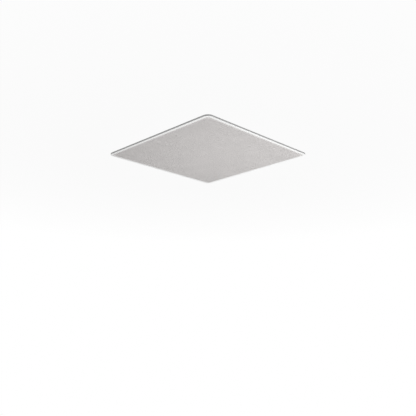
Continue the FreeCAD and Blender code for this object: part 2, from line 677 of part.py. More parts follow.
def make_bridge():
    """Bar across the woofer with a ring for the tweeter, its pivot slots open to the back."""
    leg = LIP_OUTER + STOP_CLEARANCE
    root = ring_outer() - RING_WALL / 2.0
    arm_top = BRIDGE_Z + BRIDGE_HEIGHT
    foot_z = BASKET_Z - BRIDGE_FOOT
    leg_outer = leg + BRIDGE_LEG
    section = outline((root, BRIDGE_Z), (leg_outer, BRIDGE_Z), (leg_outer, foot_z), (BASKET_RADIUS, foot_z),
                      (BASKET_RADIUS, BASKET_Z), (leg, BASKET_Z), (leg, arm_top), (root, arm_top))
    arm = pulled(section, BRIDGE_WIDTH)
    crossings = edges_along(arm, Y_AXIS)
    bends = [edge for edge in crossings if root < edge.CenterOfMass.x < BASKET_RADIUS - BRIDGE_FILLET]
    arm = rotated(arm.makeFillet(BRIDGE_FILLET, bends), 90)
    collar = disc(ring_outer(), BRIDGE_Z, PIVOT_Z + RING_HALF_HEIGHT)
    bridge = collar.multiFuse(around(arm, 2))
    bore = disc(POD_RADIUS + RING_CLEARANCE, BRIDGE_Z - THROUGH, PIVOT_Z + RING_HALF_HEIGHT + THROUGH)
    bearing = TRUNNION_RADIUS + RUNNING_CLEARANCE
    span = ring_outer() + THROUGH
    pin_hole = Part.makeCylinder(bearing, 2.0 * span, FreeCAD.Vector(-span, 0, PIVOT_Z), X_AXIS)
    slot = block(-span, span, -bearing, bearing, PIVOT_Z, PIVOT_Z + RING_HALF_HEIGHT + THROUGH)
    return bridge.cut([bore, pin_hole, slot] + driver_holes(foot_z - THROUGH, BASKET_Z + THROUGH))


def tweeter_levels():
    """Levels above the pivot: diaphragm, its back, motor's front, magnet, yoke's floor, yoke's back."""
    diaphragm = FACEPLATE_THICKNESS - POD_FACE
    diaphragm_back = diaphragm + DOME_THICKNESS
    motor = diaphragm_back + TWEETER_SEAT_GAP
    magnet = motor + TWEETER_POLE_THICKNESS
    floor = magnet + TWEETER_MAGNET_THICKNESS
    return diaphragm, diaphragm_back, motor, magnet, floor, floor + TWEETER_YOKE_WALL


def tweeter_radii():
    """Radii of the tweeter's motor: pole, coil's inside, yoke's inside and outside."""
    coil_inner = DOME_RADIUS - TWEETER_COIL_WALL
    yoke_inner = DOME_RADIUS + TWEETER_COIL_GAP
    return coil_inner - TWEETER_COIL_GAP, coil_inner, yoke_inner, yoke_inner + TWEETER_YOKE_WALL


def at_pivot(shape):
    """Copy of a tweeter piece moved from the origin to its pivot."""
    return moved(shape, 0.0, 0.0, PIVOT_Z)


def make_tweeter_cup():
    """Ball-sided cup with a sleeve for the motor, cored out behind, on two pivot pins."""
    diaphragm, diaphragm_back, _, _, _, motor_back = tweeter_levels()
    sleeve = tweeter_radii()[3] + FIT_CLEARANCE
    back = motor_back + POD_WALL
    shoulder = back - 2.0 * POD_WALL
    shoulder_radius = math.sqrt(POD_RADIUS ** 2 - shoulder ** 2)
    cup = turned((0.0, -POD_FACE), (POD_FACE_RADIUS, -POD_FACE),
                 ((POD_RADIUS, 0.0), (shoulder_radius, shoulder)), (sleeve + POD_WALL, back), (0.0, back))
    pin_reach = ring_outer() - FIT_CLEARANCE
    pins = Part.makeCylinder(TRUNNION_RADIUS, 2.0 * pin_reach, FreeCAD.Vector(-pin_reach, 0, 0), X_AXIS)
    cuts = [disc(POD_FACE_RADIUS - POD_WALL + FIT_CLEARANCE, -POD_FACE - THROUGH, diaphragm),
            disc(DOME_RADIUS + DOME_FLANGE + FIT_CLEARANCE, -POD_FACE, diaphragm_back),
            disc(sleeve, diaphragm_back - THROUGH, motor_back),
            ring(sleeve + POD_WALL, shoulder_radius - POD_WALL, diaphragm_back + POD_WALL, back + THROUGH)]
    return at_pivot(cup.fuse(pins).cut(cuts))


def make_tweeter_faceplate():
    """Ring with a flared mouth that clamps the diaphragm."""
    diaphragm = tweeter_levels()[0]
    mouth = DOME_RADIUS + TWEETER_COIL_GAP
    edge = POD_FACE_RADIUS - POD_WALL
    flare = mouth + FACEPLATE_FLARE
    return at_pivot(turned((mouth, diaphragm), (edge, diaphragm), (edge, -POD_FACE), (flare, -POD_FACE)))


def make_tweeter_dome():
    """Soft dome and its flange in one piece."""
    diaphragm, diaphragm_back = tweeter_levels()[:2]
    dome = dome_shell(DOME_RADIUS, DOME_HEIGHT, DOME_THICKNESS, diaphragm_back)
    flange = ring(DOME_RADIUS - DOME_THICKNESS, DOME_RADIUS + DOME_FLANGE, diaphragm, diaphragm_back)
    return at_pivot(dome.fuse(flange))


def make_tweeter_coil():
    """Coil that hangs from the dome into the motor's gap."""
    start = tweeter_levels()[1]
    return at_pivot(ring(tweeter_radii()[1], DOME_RADIUS, start, start + TWEETER_COIL_LENGTH))


def make_tweeter_pole_plate():
    """Steel disc in front of the tweeter's magnet."""
    levels = tweeter_levels()
    return at_pivot(disc(tweeter_radii()[0], levels[2], levels[3]))


def make_tweeter_magnet():
    """Disc magnet of the tweeter."""
    levels = tweeter_levels()
    return at_pivot(disc(tweeter_radii()[0] - TWEETER_MAGNET_INSET, levels[3], levels[4]))


def make_tweeter_yoke():
    """Steel pot round the tweeter's magnet."""
    _, _, motor, _, floor, back = tweeter_levels()
    _, _, inner, outer = tweeter_radii()
    return at_pivot(disc(outer, motor, back).cut(disc(inner, motor, floor)))


def make_clamp_screw():
    """Clamp screw in the corner of +X and +Y."""
    seat = CLAMP_HEAD_SEAT - RUNNING_CLEARANCE
    screw = pan_screw(CLAMP_SCREW_RADIUS, TOWER_TOP_Z - seat, CLAMP_HEAD_RADIUS, CLAMP_HEAD_HEIGHT)
    return moved(screw, CLAMP_XY, CLAMP_XY, seat)


def make_clamp_leg():
    """Clamp leg in the corner of +X and +Y, tucked along -Y, with a tapered arm and a dropped foot."""
    top = LEG_Z + LEG_HUB_HEIGHT
    heel = LEG_REACH - LEG_FOOT_LENGTH
    under = LEG_Z + LEG_FOOT_DROP
    arm = pulled(outline((0.0, under), (heel, under), (heel, LEG_Z), (LEG_REACH, LEG_Z),
                         (LEG_REACH, LEG_Z + LEG_TIP_HEIGHT), (LEG_HUB_RADIUS, top), (0.0, top)), LEG_WIDTH)
    tip = [edge for edge in edges_along(arm, Z_AXIS) if edge.CenterOfMass.x > LEG_REACH - 1e-3]
    arm = arm.makeFillet(LEG_FILLET, tip)
    bore = disc(CLAMP_SCREW_RADIUS + RUNNING_CLEARANCE, LEG_Z - THROUGH, top + THROUGH)
    leg = disc(LEG_HUB_RADIUS, LEG_Z, top).fuse(arm).cut(bore)
    return moved(rotated(leg, -90), CLAMP_XY, CLAMP_XY, 0.0)


def board_screw_places():
    """Corners of the crossover board where its screws are."""
    x = BOARD_LENGTH / 2.0 - BOARD_SCREW_INSET
    y = BOARD_WIDTH / 2.0 - BOARD_SCREW_INSET
    return [(-x, -y), (x, -y), (x, y), (-x, y)]


def board_screw_holes(z0, z1):
    """Clearance holes for the board's screws."""
    return [disc(BOARD_SCREW_RADIUS + SCREW_CLEARANCE, z0, z1, x, y) for x, y in board_screw_places()]


def make_tray():
    """Moulded tray with a rim and standoffs, screwed to the yoke."""
    floor_z = YOKE_BACK_Z + TRAY_FLOOR
    tray = plate(TRAY_LENGTH, TRAY_WIDTH, TRAY_CORNER_RADIUS, YOKE_BACK_Z, YOKE_BACK_Z + TRAY_RIM)
    wall = 2.0 * TRAY_RIM_WALL
    tray = tray.cut(plate(TRAY_LENGTH - wall, TRAY_WIDTH - wall, TRAY_CORNER_RADIUS - TRAY_RIM_WALL,
                          floor_z, YOKE_BACK_Z + TRAY_RIM + THROUGH))
    standoffs = [disc(STANDOFF_RADIUS, YOKE_BACK_Z, BOARD_Z, x, y) for x, y in board_screw_places()]
    holes = board_screw_holes(YOKE_BACK_Z - THROUGH, BOARD_Z + THROUGH)
    holes.append(disc(TRAY_SCREW_RADIUS + SCREW_CLEARANCE, YOKE_BACK_Z - THROUGH, floor_z + THROUGH))
    return tray.multiFuse(standoffs).cut(holes)


def make_tray_screw():
    """Screw that holds the tray to the yoke."""
    length = TRAY_SCREW_LENGTH + TRAY_FLOOR - SCREW_CLEARANCE
    screw = pan_screw(TRAY_SCREW_RADIUS, length, TRAY_HEAD_RADIUS, TRAY_HEAD_HEIGHT)
    return moved(upside_down(screw), 0.0, 0.0, YOKE_BACK_Z + TRAY_FLOOR)


def make_board():
    """Circuit board with holes for its screws and for reaching the tray's screw."""
    board = plate(BOARD_LENGTH, BOARD_WIDTH, TRAY_CORNER_RADIUS - BOARD_MARGIN, BOARD_Z, COMPONENT_Z)
    holes = board_screw_holes(BOARD_Z, COMPONENT_Z)
    holes.append(disc(TRAY_HEAD_RADIUS + STOP_CLEARANCE, BOARD_Z, COMPONENT_Z))
    return board.cut(holes)


def make_board_screws():
    """Screws that hold the board to the tray's standoffs."""
    screw = pan_screw(BOARD_SCREW_RADIUS, BOARD_SCREW_LENGTH, BOARD_HEAD_RADIUS, BOARD_HEAD_HEIGHT)
    return Part.makeCompound([moved(upside_down(screw), x, y, COMPONENT_Z) for x, y in board_screw_places()])


def coil_y():
    """Place of the air-core inductor across the board."""
    return BOARD_WIDTH / 2.0 - BOARD_EDGE - BOBBIN_RADIUS


def make_bobbin():
    """Bobbin of the air-core inductor."""
    lower = COMPONENT_Z + BOBBIN_CHEEK
    upper = lower + WINDING_HEIGHT
    bobbin = turned((BOBBIN_BORE_RADIUS, COMPONENT_Z), (BOBBIN_RADIUS, COMPONENT_Z), (BOBBIN_RADIUS, lower),
                    (BOBBIN_CORE_RADIUS, lower), (BOBBIN_CORE_RADIUS, upper), (BOBBIN_RADIUS, upper),
                    (BOBBIN_RADIUS, upper + BOBBIN_CHEEK), (BOBBIN_BORE_RADIUS, upper + BOBBIN_CHEEK))
    return moved(bobbin, COIL_X, coil_y(), 0.0)


def make_winding():
    """Copper winding of the air-core inductor."""
    lower = COMPONENT_Z + BOBBIN_CHEEK
    winding = ring(BOBBIN_CORE_RADIUS, BOBBIN_RADIUS - WINDING_MARGIN, lower, lower + WINDING_HEIGHT)
    return moved(winding, COIL_X, coil_y(), 0.0)


def make_drum_inductor():
    """Ferrite drum with its winding between two cheeks."""
    waist = DRUM_RADIUS - DRUM_WINDING_INSET
    top = COMPONENT_Z + DRUM_HEIGHT
    lower = COMPONENT_Z + DRUM_CHEEK
    upper = top - DRUM_CHEEK
    drum = turned((0.0, COMPONENT_Z), (DRUM_RADIUS, COMPONENT_Z), (DRUM_RADIUS, lower), (waist, lower),
                  (waist, upper), (DRUM_RADIUS, upper), (DRUM_RADIUS, top), (0.0, top))
    return moved(drum, COIL_X, BOARD_EDGE + DRUM_RADIUS - BOARD_WIDTH / 2.0, 0.0)


def rounded_block(x0, y_middle, length, width, height):
    """Component body with rounded edges, standing on the board."""
    body = block(x0, x0 + length, y_middle - width / 2.0, y_middle + width / 2.0,
                 COMPONENT_Z, COMPONENT_Z + height)
    edges = [edge for edge in body.Edges if edge.BoundBox.ZMax > COMPONENT_Z + COMPONENT_FILLET]
    return body.makeFillet(COMPONENT_FILLET, edges)


def make_film_capacitor():
    """Box film capacitor."""
    y = BOARD_WIDTH / 2.0 - BOARD_EDGE - FILM_CAP_WIDTH / 2.0
    return rounded_block(BOX_X, y, FILM_CAP_LENGTH, FILM_CAP_WIDTH, FILM_CAP_HEIGHT)


def make_can_capacitor():
    """Rolled can capacitor lying on the board, with a crimped groove near one end."""
    edge = COMPONENT_FILLET
    groove = 4.0 * CAN_GROOVE
    can = turned((0.0, 0.0), (CAN_RADIUS - edge, 0.0), (CAN_RADIUS, edge), (CAN_RADIUS, groove),
                 ((CAN_RADIUS - CAN_GROOVE, groove + CAN_GROOVE), (CAN_RADIUS, groove + 2.0 * CAN_GROOVE)),
                 (CAN_RADIUS, CAN_LENGTH - edge), (CAN_RADIUS - edge, CAN_LENGTH), (0.0, CAN_LENGTH))
    can.rotate(ORIGIN, Y_AXIS, 90)
    return moved(can, BOX_X, BOARD_EDGE + CAN_RADIUS - BOARD_WIDTH / 2.0, COMPONENT_Z + CAN_RADIUS)


def make_resistor():
    """Cement power resistor beside the terminals."""
    x0 = BOX_X + FILM_CAP_LENGTH - RESISTOR_LENGTH
    return rounded_block(x0, 0.0, RESISTOR_LENGTH, RESISTOR_SIDE, RESISTOR_SIDE)


def button_places():
    """Places of the two terminals across the block."""
    return [-TERMINAL_PITCH / 2.0, TERMINAL_PITCH / 2.0]


def make_terminal_block():
    """Terminal block with a wire hole and a button pocket for each pole."""
    x0 = TERMINAL_FRONT_X - TERMINAL_DEPTH
    body = rounded_block(x0, 0.0, TERMINAL_DEPTH, TERMINAL_WIDTH, TERMINAL_HEIGHT)
    cuts = []
    pocket_end = TERMINAL_FRONT_X + BUTTON_STANDOUT - BUTTON_LENGTH - BUTTON_TRAVEL - BUTTON_CLEARANCE
    half_width = BUTTON_WIDTH / 2.0 + BUTTON_CLEARANCE
    half_height = BUTTON_HEIGHT / 2.0 + BUTTON_CLEARANCE
    level = COMPONENT_Z + BUTTON_LEVEL
    for y in button_places():
        start = FreeCAD.Vector(TERMINAL_FRONT_X - WIRE_HOLE_DEPTH, y, COMPONENT_Z + WIRE_HOLE_HEIGHT)
        cuts.append(Part.makeCylinder(WIRE_HOLE_RADIUS, WIRE_HOLE_DEPTH + THROUGH, start, X_AXIS))
        cuts.append(block(pocket_end, TERMINAL_FRONT_X + THROUGH, y - half_width, y + half_width,
                          level - half_height, level + half_height))
    return body.cut(cuts)


def make_button(y):
    """Push button of one terminal, with a rounded front."""
    front = TERMINAL_FRONT_X + BUTTON_STANDOUT
    level = COMPONENT_Z + BUTTON_LEVEL
    button = block(front - BUTTON_LENGTH, front, y - BUTTON_WIDTH / 2.0, y + BUTTON_WIDTH / 2.0,
                   level - BUTTON_HEIGHT / 2.0, level + BUTTON_HEIGHT / 2.0)
    edges = [edge for edge in button.Edges if edge.BoundBox.XMin > front - 1e-3]
    return button.makeFillet(COMPONENT_FILLET, edges)


def make_parts():
    """All pieces by node name."""
    parts = {
        "frame": make_frame(),
        "grille": make_grille(),
        "grille_scrim": make_scrim(),
        "grille_magnets": make_grille_magnets(),
        "woofer_gasket": make_gasket(),
        "woofer_basket": make_basket(),
        "woofer_surround": make_surround(),
        "woofer_spider": make_spider(),
        "woofer_cone": make_cone(),
        "woofer_dust_cap": make_dust_cap(),
        "woofer_former": make_former(),
        "woofer_coil": make_coil(),
        "woofer_top_plate": make_top_plate(),
        "woofer_magnet": make_woofer_magnet(),
        "woofer_yoke": make_yoke(),
        "woofer_screws": make_woofer_screws(),
        "tweeter_bridge": make_bridge(),
        "bridge_screws": make_bridge_screws(),
        "tweeter_cup": make_tweeter_cup(),
        "tweeter_faceplate": make_tweeter_faceplate(),
        "tweeter_dome": make_tweeter_dome(),
        "tweeter_coil": make_tweeter_coil(),
        "tweeter_pole_plate": make_tweeter_pole_plate(),
        "tweeter_magnet": make_tweeter_magnet(),
        "tweeter_yoke": make_tweeter_yoke(),
        "crossover_tray": make_tray(),
        "tray_screw": make_tray_screw(),
        "crossover_board": make_board(),
        "board_screws": make_board_screws(),
        "inductor_bobbin": make_bobbin(),
        "inductor_winding": make_winding(),
        "drum_inductor": make_drum_inductor(),
        "film_capacitor": make_film_capacitor(),
        "can_capacitor": make_can_capacitor(),
        "power_resistor": make_resistor(),
        "terminal_block": make_terminal_block(),
        "terminal_button_red": make_button(button_places()[0]),
        "terminal_button_black": make_button(button_places()[1]),
    }
    for number, screw in enumerate(around(make_clamp_screw(), 4), 1):
        parts["clamp_screw_%d" % number] = screw
    for number, leg in enumerate(around(make_clamp_leg(), 4), 1):
        parts["clamp_leg_%d" % number] = leg
    return parts


os.makedirs("parts", exist_ok=True)
for name, shape in make_parts().items():
    shape.exportStep("parts/%s.step" % name)
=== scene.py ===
# %% [markdown]
# # A square in-ceiling loudspeaker
# The speaker hangs in a hole in a ceiling board. Only its white rim and its punched grille show from the
# room, and the drivers, clamps and crossover stand above the board. The solids come from the CAD model, in
# metres, with z = 0 on the underside of the board and the grille facing down. This lesson gives every
# surface its finish and adds the shapes that are too fine for the solids.

# %% Load the solids
import math

import bmesh
import bpy
from mathutils import Matrix, Vector
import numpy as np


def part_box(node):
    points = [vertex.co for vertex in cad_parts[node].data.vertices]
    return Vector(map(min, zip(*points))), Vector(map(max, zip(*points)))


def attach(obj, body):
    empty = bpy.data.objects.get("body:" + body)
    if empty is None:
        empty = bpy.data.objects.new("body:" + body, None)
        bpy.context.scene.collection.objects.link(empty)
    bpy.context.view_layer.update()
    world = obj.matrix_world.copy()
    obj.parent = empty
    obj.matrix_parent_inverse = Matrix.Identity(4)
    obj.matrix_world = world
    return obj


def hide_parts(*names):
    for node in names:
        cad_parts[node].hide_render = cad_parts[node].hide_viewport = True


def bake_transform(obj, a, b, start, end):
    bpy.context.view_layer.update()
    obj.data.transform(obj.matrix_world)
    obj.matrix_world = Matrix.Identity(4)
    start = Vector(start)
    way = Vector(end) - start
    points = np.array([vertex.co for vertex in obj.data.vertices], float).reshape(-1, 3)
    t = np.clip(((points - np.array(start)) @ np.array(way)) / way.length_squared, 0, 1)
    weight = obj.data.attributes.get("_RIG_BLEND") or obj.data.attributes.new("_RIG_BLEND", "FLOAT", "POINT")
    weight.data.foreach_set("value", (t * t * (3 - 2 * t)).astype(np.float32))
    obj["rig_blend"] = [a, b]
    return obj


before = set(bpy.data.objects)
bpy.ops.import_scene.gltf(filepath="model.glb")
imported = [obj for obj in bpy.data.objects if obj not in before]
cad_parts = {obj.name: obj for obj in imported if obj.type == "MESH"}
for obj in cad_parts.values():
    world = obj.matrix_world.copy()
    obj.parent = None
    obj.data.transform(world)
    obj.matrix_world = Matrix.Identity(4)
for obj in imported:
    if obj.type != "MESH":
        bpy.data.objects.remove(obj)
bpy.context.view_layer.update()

# %% [markdown]
# ## The camera
# The picture looks up at the speaker along one diagonal of its square, from about a metre away. The four
# corners of a flat square fix the lens, the tilt and the distance, so the camera is set in sides of the
# frame and everything follows if the frame changes. It could be turned by hand until it looks right, but
# numbers stay the same in every later render.

# %% Camera
PICTURE_PIXELS = 416.0
FOCAL_PIXELS = 566.6
SIDES_AWAY = 3.812
SIDES_BELOW = 1.3546
TILT = math.radians(14.24)
frame_low, frame_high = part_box("frame")
frame_side = frame_high.x - frame_low.x
across = Vector((-1.0, 1.0, 0.0)).normalized()
rightwards = Vector((1.0, 1.0, 0.0)).normalized()
lens = bpy.data.cameras.new("camera")
lens.sensor_width = 36.0
lens.lens = lens.sensor_width * FOCAL_PIXELS / PICTURE_PIXELS
camera = bpy.data.objects.new("camera", lens)
bpy.context.scene.collection.objects.link(camera)
camera.location = -SIDES_AWAY * frame_side * across
camera.location.z = frame_low.z - SIDES_BELOW * frame_side
gaze = across * math.cos(TILT) + Vector((0.0, 0.0, math.sin(TILT)))
camera.rotation_euler = gaze.to_track_quat("-Z", "Y").to_euler()
bpy.context.scene.camera = camera
print("camera at", tuple(round(c, 3) for c in camera.location), "lens", round(lens.lens, 1), "mm")

# %% [markdown]
# ## Small helpers for materials
# A finish on a real thing is never one flat colour: paint has orange peel, cloth has threads, castings have
# grit. Each finish here starts from one shader and adds patterns that read Object coordinates, so they sit
# still on the piece and are in real metres. A pattern with features of 0.4 mm has a scale of 1 / 0.0004.

# %% Material helpers
CLOUD_SIZE = 0.03
CLOUD_DETAIL = 3.0
GLOSS_SPREAD = 0.06


def new_finish(name, roughness, metallic=0.0):
    """A material, its node tree and its shader."""
    material = bpy.data.materials.new(name)
    material.use_nodes = True
    shader = material.node_tree.nodes["Principled BSDF"]
    shader.inputs["Roughness"].default_value = roughness
    shader.inputs["Metallic"].default_value = metallic
    return material, material.node_tree, shader


def placed(tree, pattern, size):
    """A texture node on Object coordinates, with features of about that size in metres."""
    where = tree.nodes.new("ShaderNodeTexCoord")
    texture = tree.nodes.new(pattern)
    texture.inputs["Scale"].default_value = 1.0 / size
    tree.links.new(where.outputs["Object"], texture.inputs["Vector"])
    return texture


def cloudy(tree, size, detail=2.0):
    """The height of a noise with features of that size."""
    noise = placed(tree, "ShaderNodeTexNoise", size)
    noise.inputs["Detail"].default_value = detail
    return noise.outputs["Fac"]


def tinted(tree, height, low, high, start=0.35, end=0.65):
    """Colours from low to high as the height goes from start to end."""
    ramp = tree.nodes.new("ShaderNodeValToRGB")
    ramp.color_ramp.elements[0].position = start
    ramp.color_ramp.elements[0].color = (*low, 1.0)
    ramp.color_ramp.elements[1].position = end
    ramp.color_ramp.elements[1].color = (*high, 1.0)
    tree.links.new(height, ramp.inputs["Fac"])
    return ramp.outputs["Color"]


def spread(tree, height, low, high, start=0.3, end=0.7):
    """A number from low to high as the height goes from start to end."""
    reach = tree.nodes.new("ShaderNodeMapRange")
    reach.inputs["From Min"].default_value = start
    reach.inputs["From Max"].default_value = end
    reach.inputs["To Min"].default_value = low
    reach.inputs["To Max"].default_value = high
    tree.links.new(height, reach.inputs["Value"])
    return reach.outputs["Result"]


def worked_out(tree, operation, *values):
    """The result of one sum, on sockets and plain numbers."""
    math_node = tree.nodes.new("ShaderNodeMath")
    math_node.operation = operation
    for socket, value in zip(math_node.inputs, values):
        if isinstance(value, bpy.types.NodeSocket):
            tree.links.new(value, socket)
        else:
            socket.default_value = value
    return math_node.outputs["Value"]


def raised(tree, shader, height, depth):
    """Relief from a height, that many metres deep."""
    bump = tree.nodes.new("ShaderNodeBump")
    bump.inputs["Distance"].default_value = depth
    tree.links.new(height, bump.inputs["Height"])
    tree.links.new(bump.outputs["Normal"], shader.inputs["Normal"])


def coated(name, low, high, roughness, grit, depth, metallic=0.0):
    """A moulded, painted or plated finish: two close tints in soft clouds, fine grit, uneven gloss."""
    material, tree, shader = new_finish(name, roughness, metallic)
    clouds = cloudy(tree, CLOUD_SIZE, CLOUD_DETAIL)
    tree.links.new(tinted(tree, clouds, low, high), shader.inputs["Base Color"])
    grain = cloudy(tree, grit)
    gloss = spread(tree, grain, roughness - GLOSS_SPREAD, roughness + GLOSS_SPREAD)
    tree.links.new(gloss, shader.inputs["Roughness"])
    raised(tree, shader, grain, depth)
    return material


def dress(material, *names):
    """Gives CAD nodes their finish."""
    for name in names:
        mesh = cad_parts[name].data
        mesh.materials.clear()
        mesh.materials.append(material)
    print(material.name, "on", ", ".join(names))


# %% [markdown]
# ## White moulding and grille paint
# The frame is one moulding in satin white plastic with a fine spark-eroded texture. The grille has a powder
# coat in a pale warm grey, with an orange peel of its own. Each finish could be one flat colour, but two
# very close tints keep it alive without looking dirty.

# %% White finishes
white_moulding = coated("white_moulding", (0.88, 0.88, 0.875), (0.91, 0.91, 0.905), 0.42, 0.0004, 0.00001)
dress(white_moulding, "frame")
powder_coat = coated("powder_coat", (0.66, 0.638, 0.63), (0.69, 0.666, 0.658), 0.55, 0.0003, 0.00002)

# %% [markdown]
# ## The punched grille
# The grille is a steel sheet punched with staggered holes, with a plain margin round them. Thousands of
# boolean cuts would be slow. Instead, a flat grid loses its four corners, its rows are pushed a quarter pitch
# to the left and right in turn, and it is cut into triangles, so each inner point has six neighbours.
# Bevelling those points turns each one into a small six-sided face, and deleting these faces leaves the
# holes.

# %% Hole field
HOLE_PITCH = 0.0021
HOLE_REACH = 0.00067
SHEET_MARGIN = 0.0004
SHEET_CORNER = 0.0041
TIP_ALLOWANCE = 0.0001
grille_low, grille_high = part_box("grille")
sheet_side = grille_high.x - grille_low.x
sheet_thickness = grille_high.z - grille_low.z
field_side = sheet_side - 2.0 * SHEET_MARGIN
straight = sheet_side / 2.0 - SHEET_CORNER


def past_straight(point):
    """How far a point lies outside the square between the centres of the rounded corners."""
    return Vector((max(abs(point.co.x) - straight, 0.0), max(abs(point.co.y) - straight, 0.0))).length


columns = round(field_side / HOLE_PITCH)
rows = round(field_side / (HOLE_PITCH * math.sqrt(3.0) / 2.0))
sheet = bmesh.new()
bmesh.ops.create_grid(sheet, x_segments=columns, y_segments=rows, size=field_side / 2.0)
corner_reach = SHEET_CORNER - SHEET_MARGIN + TIP_ALLOWANCE
tips = [point for point in sheet.verts if past_straight(point) > corner_reach]
bmesh.ops.delete(sheet, geom=tips, context="VERTS")
inner = [point for point in sheet.verts if not point.is_boundary]
for odd, push in ((0, -0.25), (1, 0.25)):
    row = [point for point in inner if round((point.co.y / field_side + 0.5) * rows) % 2 == odd]
    bmesh.ops.translate(sheet, verts=row, vec=(push * HOLE_PITCH, 0.0, 0.0))
bmesh.ops.triangulate(sheet, faces=sheet.faces[:], quad_method="SHORT_EDGE")
field_edge = [edge for edge in sheet.edges if edge.is_boundary]
punched = bmesh.ops.bevel(sheet, geom=inner, offset=HOLE_REACH, offset_type="OFFSET", affect="VERTICES",
                          segments=1, profile=0.5, material=-1)
bmesh.ops.delete(sheet, geom=punched["faces"], context="FACES_ONLY")
print("holes:", len(punched["faces"]), "in", rows - 1, "rows")

# %% [markdown]
# The margin runs from the field's edge to an outline with rounded corners. The outline starts as a circle of
# four points, its corners are bevelled, and a triangle fill closes the ring between the two loops. Only then
# does the sheet get its thickness, so that every hole gets its wall. The rim's front edge is eased a little,
# as a press leaves it.

# %% Margin, thickness and rim
RIM_EASE = 0.00025
SAME_PLACE = 1e-6


def rounded_square(bm, side, filled):
    """A flat square with rounded corners, as a face or as a bare outline."""
    corners = bmesh.ops.create_circle(bm, cap_ends=filled, segments=4, radius=side / math.sqrt(2.0))["verts"]
    bmesh.ops.rotate(bm, verts=corners, matrix=Matrix.Rotation(math.pi / 4.0, 3, "Z"))
    bmesh.ops.bevel(bm, geom=corners, offset=SHEET_CORNER, offset_type="OFFSET", affect="VERTICES",
                    segments=6, profile=0.5, material=-1)


rounded_square(sheet, sheet_side, False)
outline = [edge for edge in sheet.edges if not edge.link_faces]
bmesh.ops.triangle_fill(sheet, use_beauty=True, edges=field_edge + outline, normal=(0.0, 0.0, 1.0))
bmesh.ops.solidify(sheet, geom=sheet.faces[:], thickness=sheet_thickness)
bmesh.ops.translate(sheet, verts=sheet.verts[:], vec=(0.0, 0.0, grille_high.z))


def on_outline(point):
    """Whether a point lies on the rounded outline, at the sheet's front."""
    at_edge = abs(past_straight(point) - SHEET_CORNER) < SAME_PLACE
    return at_edge and point.co.z < grille_low.z + SAME_PLACE


rim = [edge for edge in sheet.edges if all(on_outline(point) for point in edge.verts)]
bmesh.ops.bevel(sheet, geom=rim, offset=RIM_EASE, offset_type="OFFSET", affect="EDGES",
                segments=2, profile=0.5, material=-1)
print("sheet:", len(sheet.faces), "faces")

# %% [markdown]
# With all its holes the sheet is heavier than one mesh should be. A plane cuts it in two along the web
# between the two middle rows, where the cut can't be seen, and each half is closed again at the cut.

# %% Two halves
TOUCHING = 1e-7


def new_piece(name, bm, material):
    """Turns a finished bmesh into an object at the origin."""
    mesh = bpy.data.meshes.new(name)
    bm.to_mesh(mesh)
    bm.free()
    mesh.materials.append(material)
    piece = bpy.data.objects.new(name, mesh)
    bpy.context.scene.collection.objects.link(piece)
    print(name, "triangles:", sum(len(face.vertices) - 2 for face in mesh.polygons))
    return piece


def half_sheet(name, side):
    """The half of the sheet on one side of its middle web; side is 1 for +Y and -1 for -Y."""
    half = sheet.copy()
    web = ((rows // 2 + 0.5) / rows - 0.5) * field_side
    bmesh.ops.bisect_plane(half, geom=half.verts[:] + half.edges[:] + half.faces[:], dist=TOUCHING,
                           plane_co=(0.0, web, 0.0), plane_no=(0.0, -side, 0.0), clear_outer=True)
    bmesh.ops.holes_fill(half, edges=[edge for edge in half.edges if edge.is_boundary])
    print(name, "open edges:", sum(edge.is_boundary for edge in half.edges))
    piece = new_piece(name, half, powder_coat)
    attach(piece, "grille")
    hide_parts("grille")


half_sheet("punched_grille_a", 1.0)
half_sheet("punched_grille_b", -1.0)
sheet.free()

# %% [markdown]
# ## Grey cloth behind the grille
# A thin grey scrim is glued to the back of the grille, so that nothing shows through the holes. Real scrim
# is a plain weave of about 20 threads to the centimetre. Two sets of fine waves, one along each side, are
# laid over each other for the threads.

# %% Woven cloths
WAVE_PERIODS = 20.0 / math.tau
THREAD_WANDER = 0.6


def bands(tree, direction, period):
    """Soft bands across one axis, repeating after that many metres."""
    texture = placed(tree, "ShaderNodeTexWave", period * WAVE_PERIODS)
    texture.bands_direction = direction
    return texture


def woven(name, low, high, thread, depth, roughness):
    """Cloth with threads of that width along both sides of the sheet."""
    material, tree, shader = new_finish(name, roughness)
    heights = []
    for direction in ("X", "Y"):
        threads = bands(tree, direction, thread)
        threads.inputs["Distortion"].default_value = THREAD_WANDER
        heights.append(threads.outputs["Fac"])
    weave = worked_out(tree, "MULTIPLY", *heights)
    tree.links.new(tinted(tree, weave, low, high, 0.1, 0.7), shader.inputs["Base Color"])
    shader.inputs["Sheen Weight"].default_value = 0.2
    raised(tree, shader, weave, depth)
    return material


grille_cloth = woven("grille_cloth", (0.38, 0.372, 0.367), (0.55, 0.538, 0.531), 0.0005, 0.0001, 0.9)

# %% [markdown]
# The cloth is cut a little smaller than the sheet and stretched flat on its back while the glue sets. It is
# one thin layer with the sheet's corners.

# %% Stretched scrim
scrim_low, scrim_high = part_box("grille_scrim")
scrim_side = scrim_high.x - scrim_low.x
cloth = bmesh.new()
rounded_square(cloth, scrim_side, True)
bmesh.ops.solidify(cloth, geom=cloth.faces[:], thickness=scrim_high.z - scrim_low.z)
bmesh.ops.recalc_face_normals(cloth, faces=cloth.faces[:])
bmesh.ops.translate(cloth, verts=cloth.verts[:], vec=(0.0, 0.0, scrim_high.z))
scrim = new_piece("stretched_scrim", cloth, grille_cloth)
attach(scrim, "grille")
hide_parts("grille_scrim")

